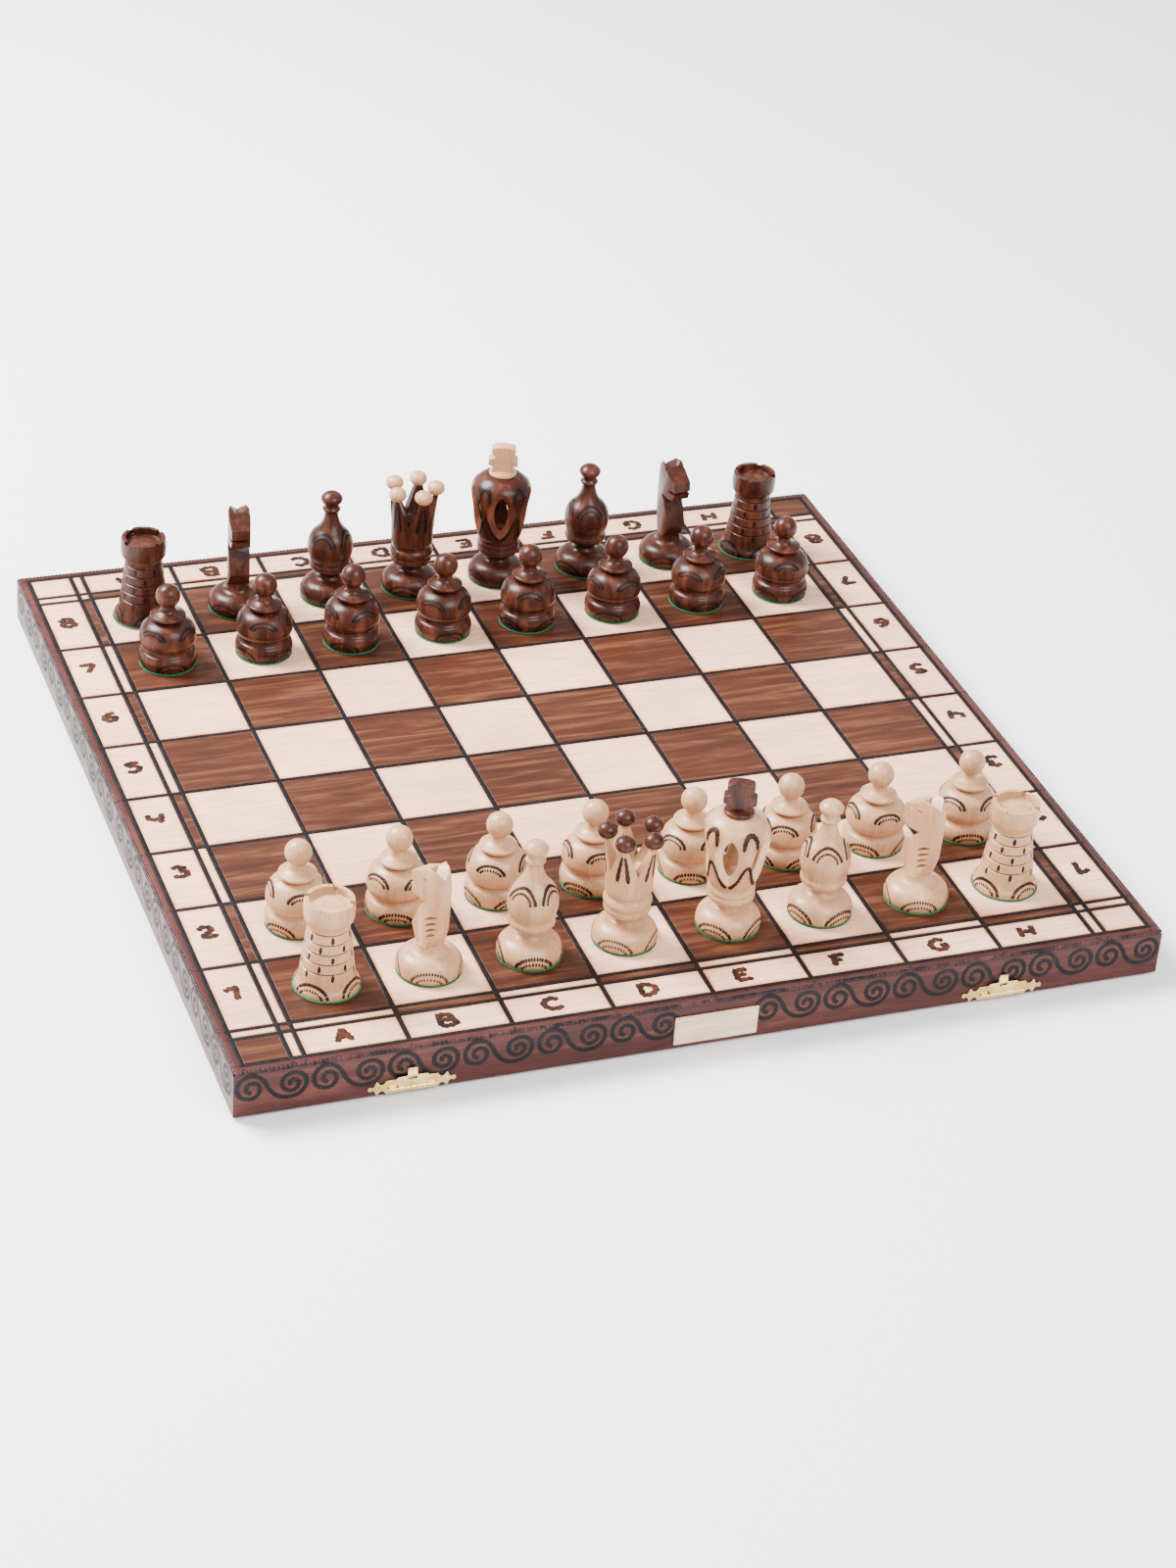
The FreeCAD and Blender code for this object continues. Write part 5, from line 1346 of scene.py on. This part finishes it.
# How far each man was set down from the middle of its square.
SET_DOWN = {
    "white_queen": (-1.5, 1.5), "white_king": (2.0, 0.5), "white_knight_g1": (1.2, -1.0),
    "white_pawn_a2": (-0.5, 1.5), "white_pawn_b2": (-0.5, 1.5), "white_pawn_c2": (0.0, 1.5),
    "white_pawn_d2": (-1.3, 1.0), "white_pawn_f2": (2.0, 0.5), "black_rook_a8": (-2.4, 2.0),
    "black_bishop_c8": (2.5, 1.5), "black_queen": (-1.5, 1.0), "black_king": (-0.5, 1.5),
    "black_bishop_f8": (1.5, 2.0), "black_knight_g8": (1.5, 1.0), "black_rook_h8": (1.5, 2.0),
    "black_pawn_a7": (-1.5, 1.0), "black_pawn_b7": (1.5, 0.5), "black_pawn_d7": (2.2, 0.5),
}
# Carved strokes of a knight's mane and nicks of its eye and nostril: forward and up at
# each end of a stroke.
MANE_STROKES = [((-2.6, 36.4), (-10.4, 40.6)), ((-2.9, 32.6), (-10.2, 36.8)),
                ((-3.2, 28.9), (-9.9, 33.0)), ((-3.5, 25.4), (-9.4, 29.3))]
FACE_NICKS = [((-2.6, 60.6), (0.6, 61.2)), ((8.4, 56.5), (10.2, 57.1))]


def head_half_thick(fore):
    """Half thickness of a knight's head, by the distance forward of the axis."""
    return np.interp(fore, (-12, -1, 4, 12.6), (3.5, 6.7, 6.7, 5.7))


def knight_slit_shade():
    """Dark lens-shaped marks over the mane's slits on both cheeks and over small face nicks:
    painted shade of the carved hollows.
    """
    made = []
    for strokes, wide in ((MANE_STROKES, 0.95), (FACE_NICKS, 0.5)):
        for start, end in strokes:
            for hand in (-1, 1):
                flat = eased([start, ((start[0] + end[0]) / 2, (start[1] + end[1]) / 2 + 0.4),
                              end], 6)
                across = hand * head_half_thick(flat[:, 0])
                path = np.column_stack([across, flat])
                slope = np.gradient(head_half_thick(flat[:, 0]), flat[:, 0])
                over = np.column_stack([np.full(len(flat), float(hand)), -slope,
                                        np.zeros(len(flat))])
                over /= np.linalg.norm(over, axis=1)[:, None]
                swell = wide * np.sin(np.linspace(0.06, 0.97, len(flat)) * np.pi)[:, None]
                made.append(swept(path, beside(path, over), over,
                                  swell * np.array([[-1, -0.4, 0.4, 1, 0]]),
                                  np.repeat([[-0.02, 0.09, 0.09, -0.02, -0.3]], len(path), 0)))
    return joined(made)


# Brown lens marks for the white knights' carved slits and nicks: painted shade in the hollows.
pale_slit_shade = char("pale_slit_painted_shade", (0.10, 0.04, 0.016), (0.24, 0.11, 0.05), 0.6)
FILES = "abcdefgh"
BACK_RANK = ["rook", "knight", "bishop", "queen", "king", "bishop", "knight", "rook"]
MEN = [(colour, man, file_number, rank)
       for colour, home, pawns in (("white", 1, 2), ("black", 8, 7))
       for rank, row in ((home, BACK_RANK), (pawns, ["pawn"] * 8))
       for file_number, man in enumerate(row)]
OPPONENT = {"white": "black", "black": "white"}
FACING = {"white": 0, "black": 180}
WOOD = {"white": pale_wood, "black": dark_wood}
BEVEL_HIGHLIGHT = {"white": pale_bevel_highlight, "black": dark_bevel_highlight}
BURN_AND_GROOVE_SHADE = {"white": burn_and_groove_shade, "black": dark_burn_and_shade}
SLIT_SHADE = {"white": pale_slit_shade, "black": dark_burn_and_shade}
SLOT = {"white": "pale_wood", "black": "dark_wood"}
SHAPES = {"pawn": pawn_shapes, "bishop": bishop_shapes, "rook": rook_shapes}
for number, (colour, man, file_number, rank) in enumerate(MEN):
    name = "%s_%s" % (colour, man)
    if man not in ("king", "queen"):
        name += "_%s%d" % (FILES[file_number], rank)
    turn = TURNS.get(name, 0) + FACING[colour]
    across, away = SET_DOWN.get(name, (0, 0))
    x, y = (file_number - 3.5) * SQUARE + across, (rank - 4.5) * SQUARE + away
    finish, slot, other = WOOD[colour], SLOT[colour], OPPONENT[colour]
    if man == "knight":
        sawn_copy(name, finish, 0.3)
        burns = joined(base_arches(outline_of(man), 55.0))
    elif man == "queen":
        sawn_copy(name, finish, 0.0)
        burns = queen_burns()
    elif man == "king":
        wood_shape, burns, burned_path, bevel_highlight_faces = king_shapes()
        # The window bevel faces take the paler wood copy, a painted highlight.
        made = welded(piece(name + "_wood", stood(wood_shape, x, y, turn),
                            [finish, BEVEL_HIGHLIGHT[colour]], name, [name], bevel_highlight_faces, smooth=34))
        glow_near(made, stood((burned_path, []), x, y, turn)[0], 3.0)
    else:
        wood_shape, burns = SHAPES[man](number)
        made = piece(name + "_wood", stood(wood_shape, x, y, turn), [finish], name,
                     [name], smooth=34)
        if man == "rook":
            softened(welded(made), 0.15, 50)
    # For a rook these also hold the painted shade rings in its grooves.
    piece(name + "_burns", stood(burns, x, y, turn), [BURN_AND_GROOVE_SHADE[colour]], name, smooth=50)
    foot_radius = RINGS[man][0][0] + FELT_OUT
    piece(name + "_foot_felt", stood(felt_disc(foot_radius), x, y, turn), [foot_felt], name)
    if man == "knight":
        # Painted shade over the knight's carved slits and nicks.
        piece(name + "_slit_shade", stood(knight_slit_shade(), x, y, turn), [SLIT_SHADE[colour]], name,
              smooth=50)
    if man == "queen":
        balls = joined([crown_ball(72 * ball) for ball in range(5)])
        piece(name + "_crown_balls", stood(balls, x, y, turn), [WOOD[other]], name,
              [name + "_balls"], smooth=50)
    if man == "king":
        made = piece(name + "_finial_wood",
                     stood(finial_shape(), x, y, FINIAL_TURN[colour] + FACING[colour]),
                     [WOOD[other]], name, [name + "_finial"], smooth=34)
        softened(made, 0.35)
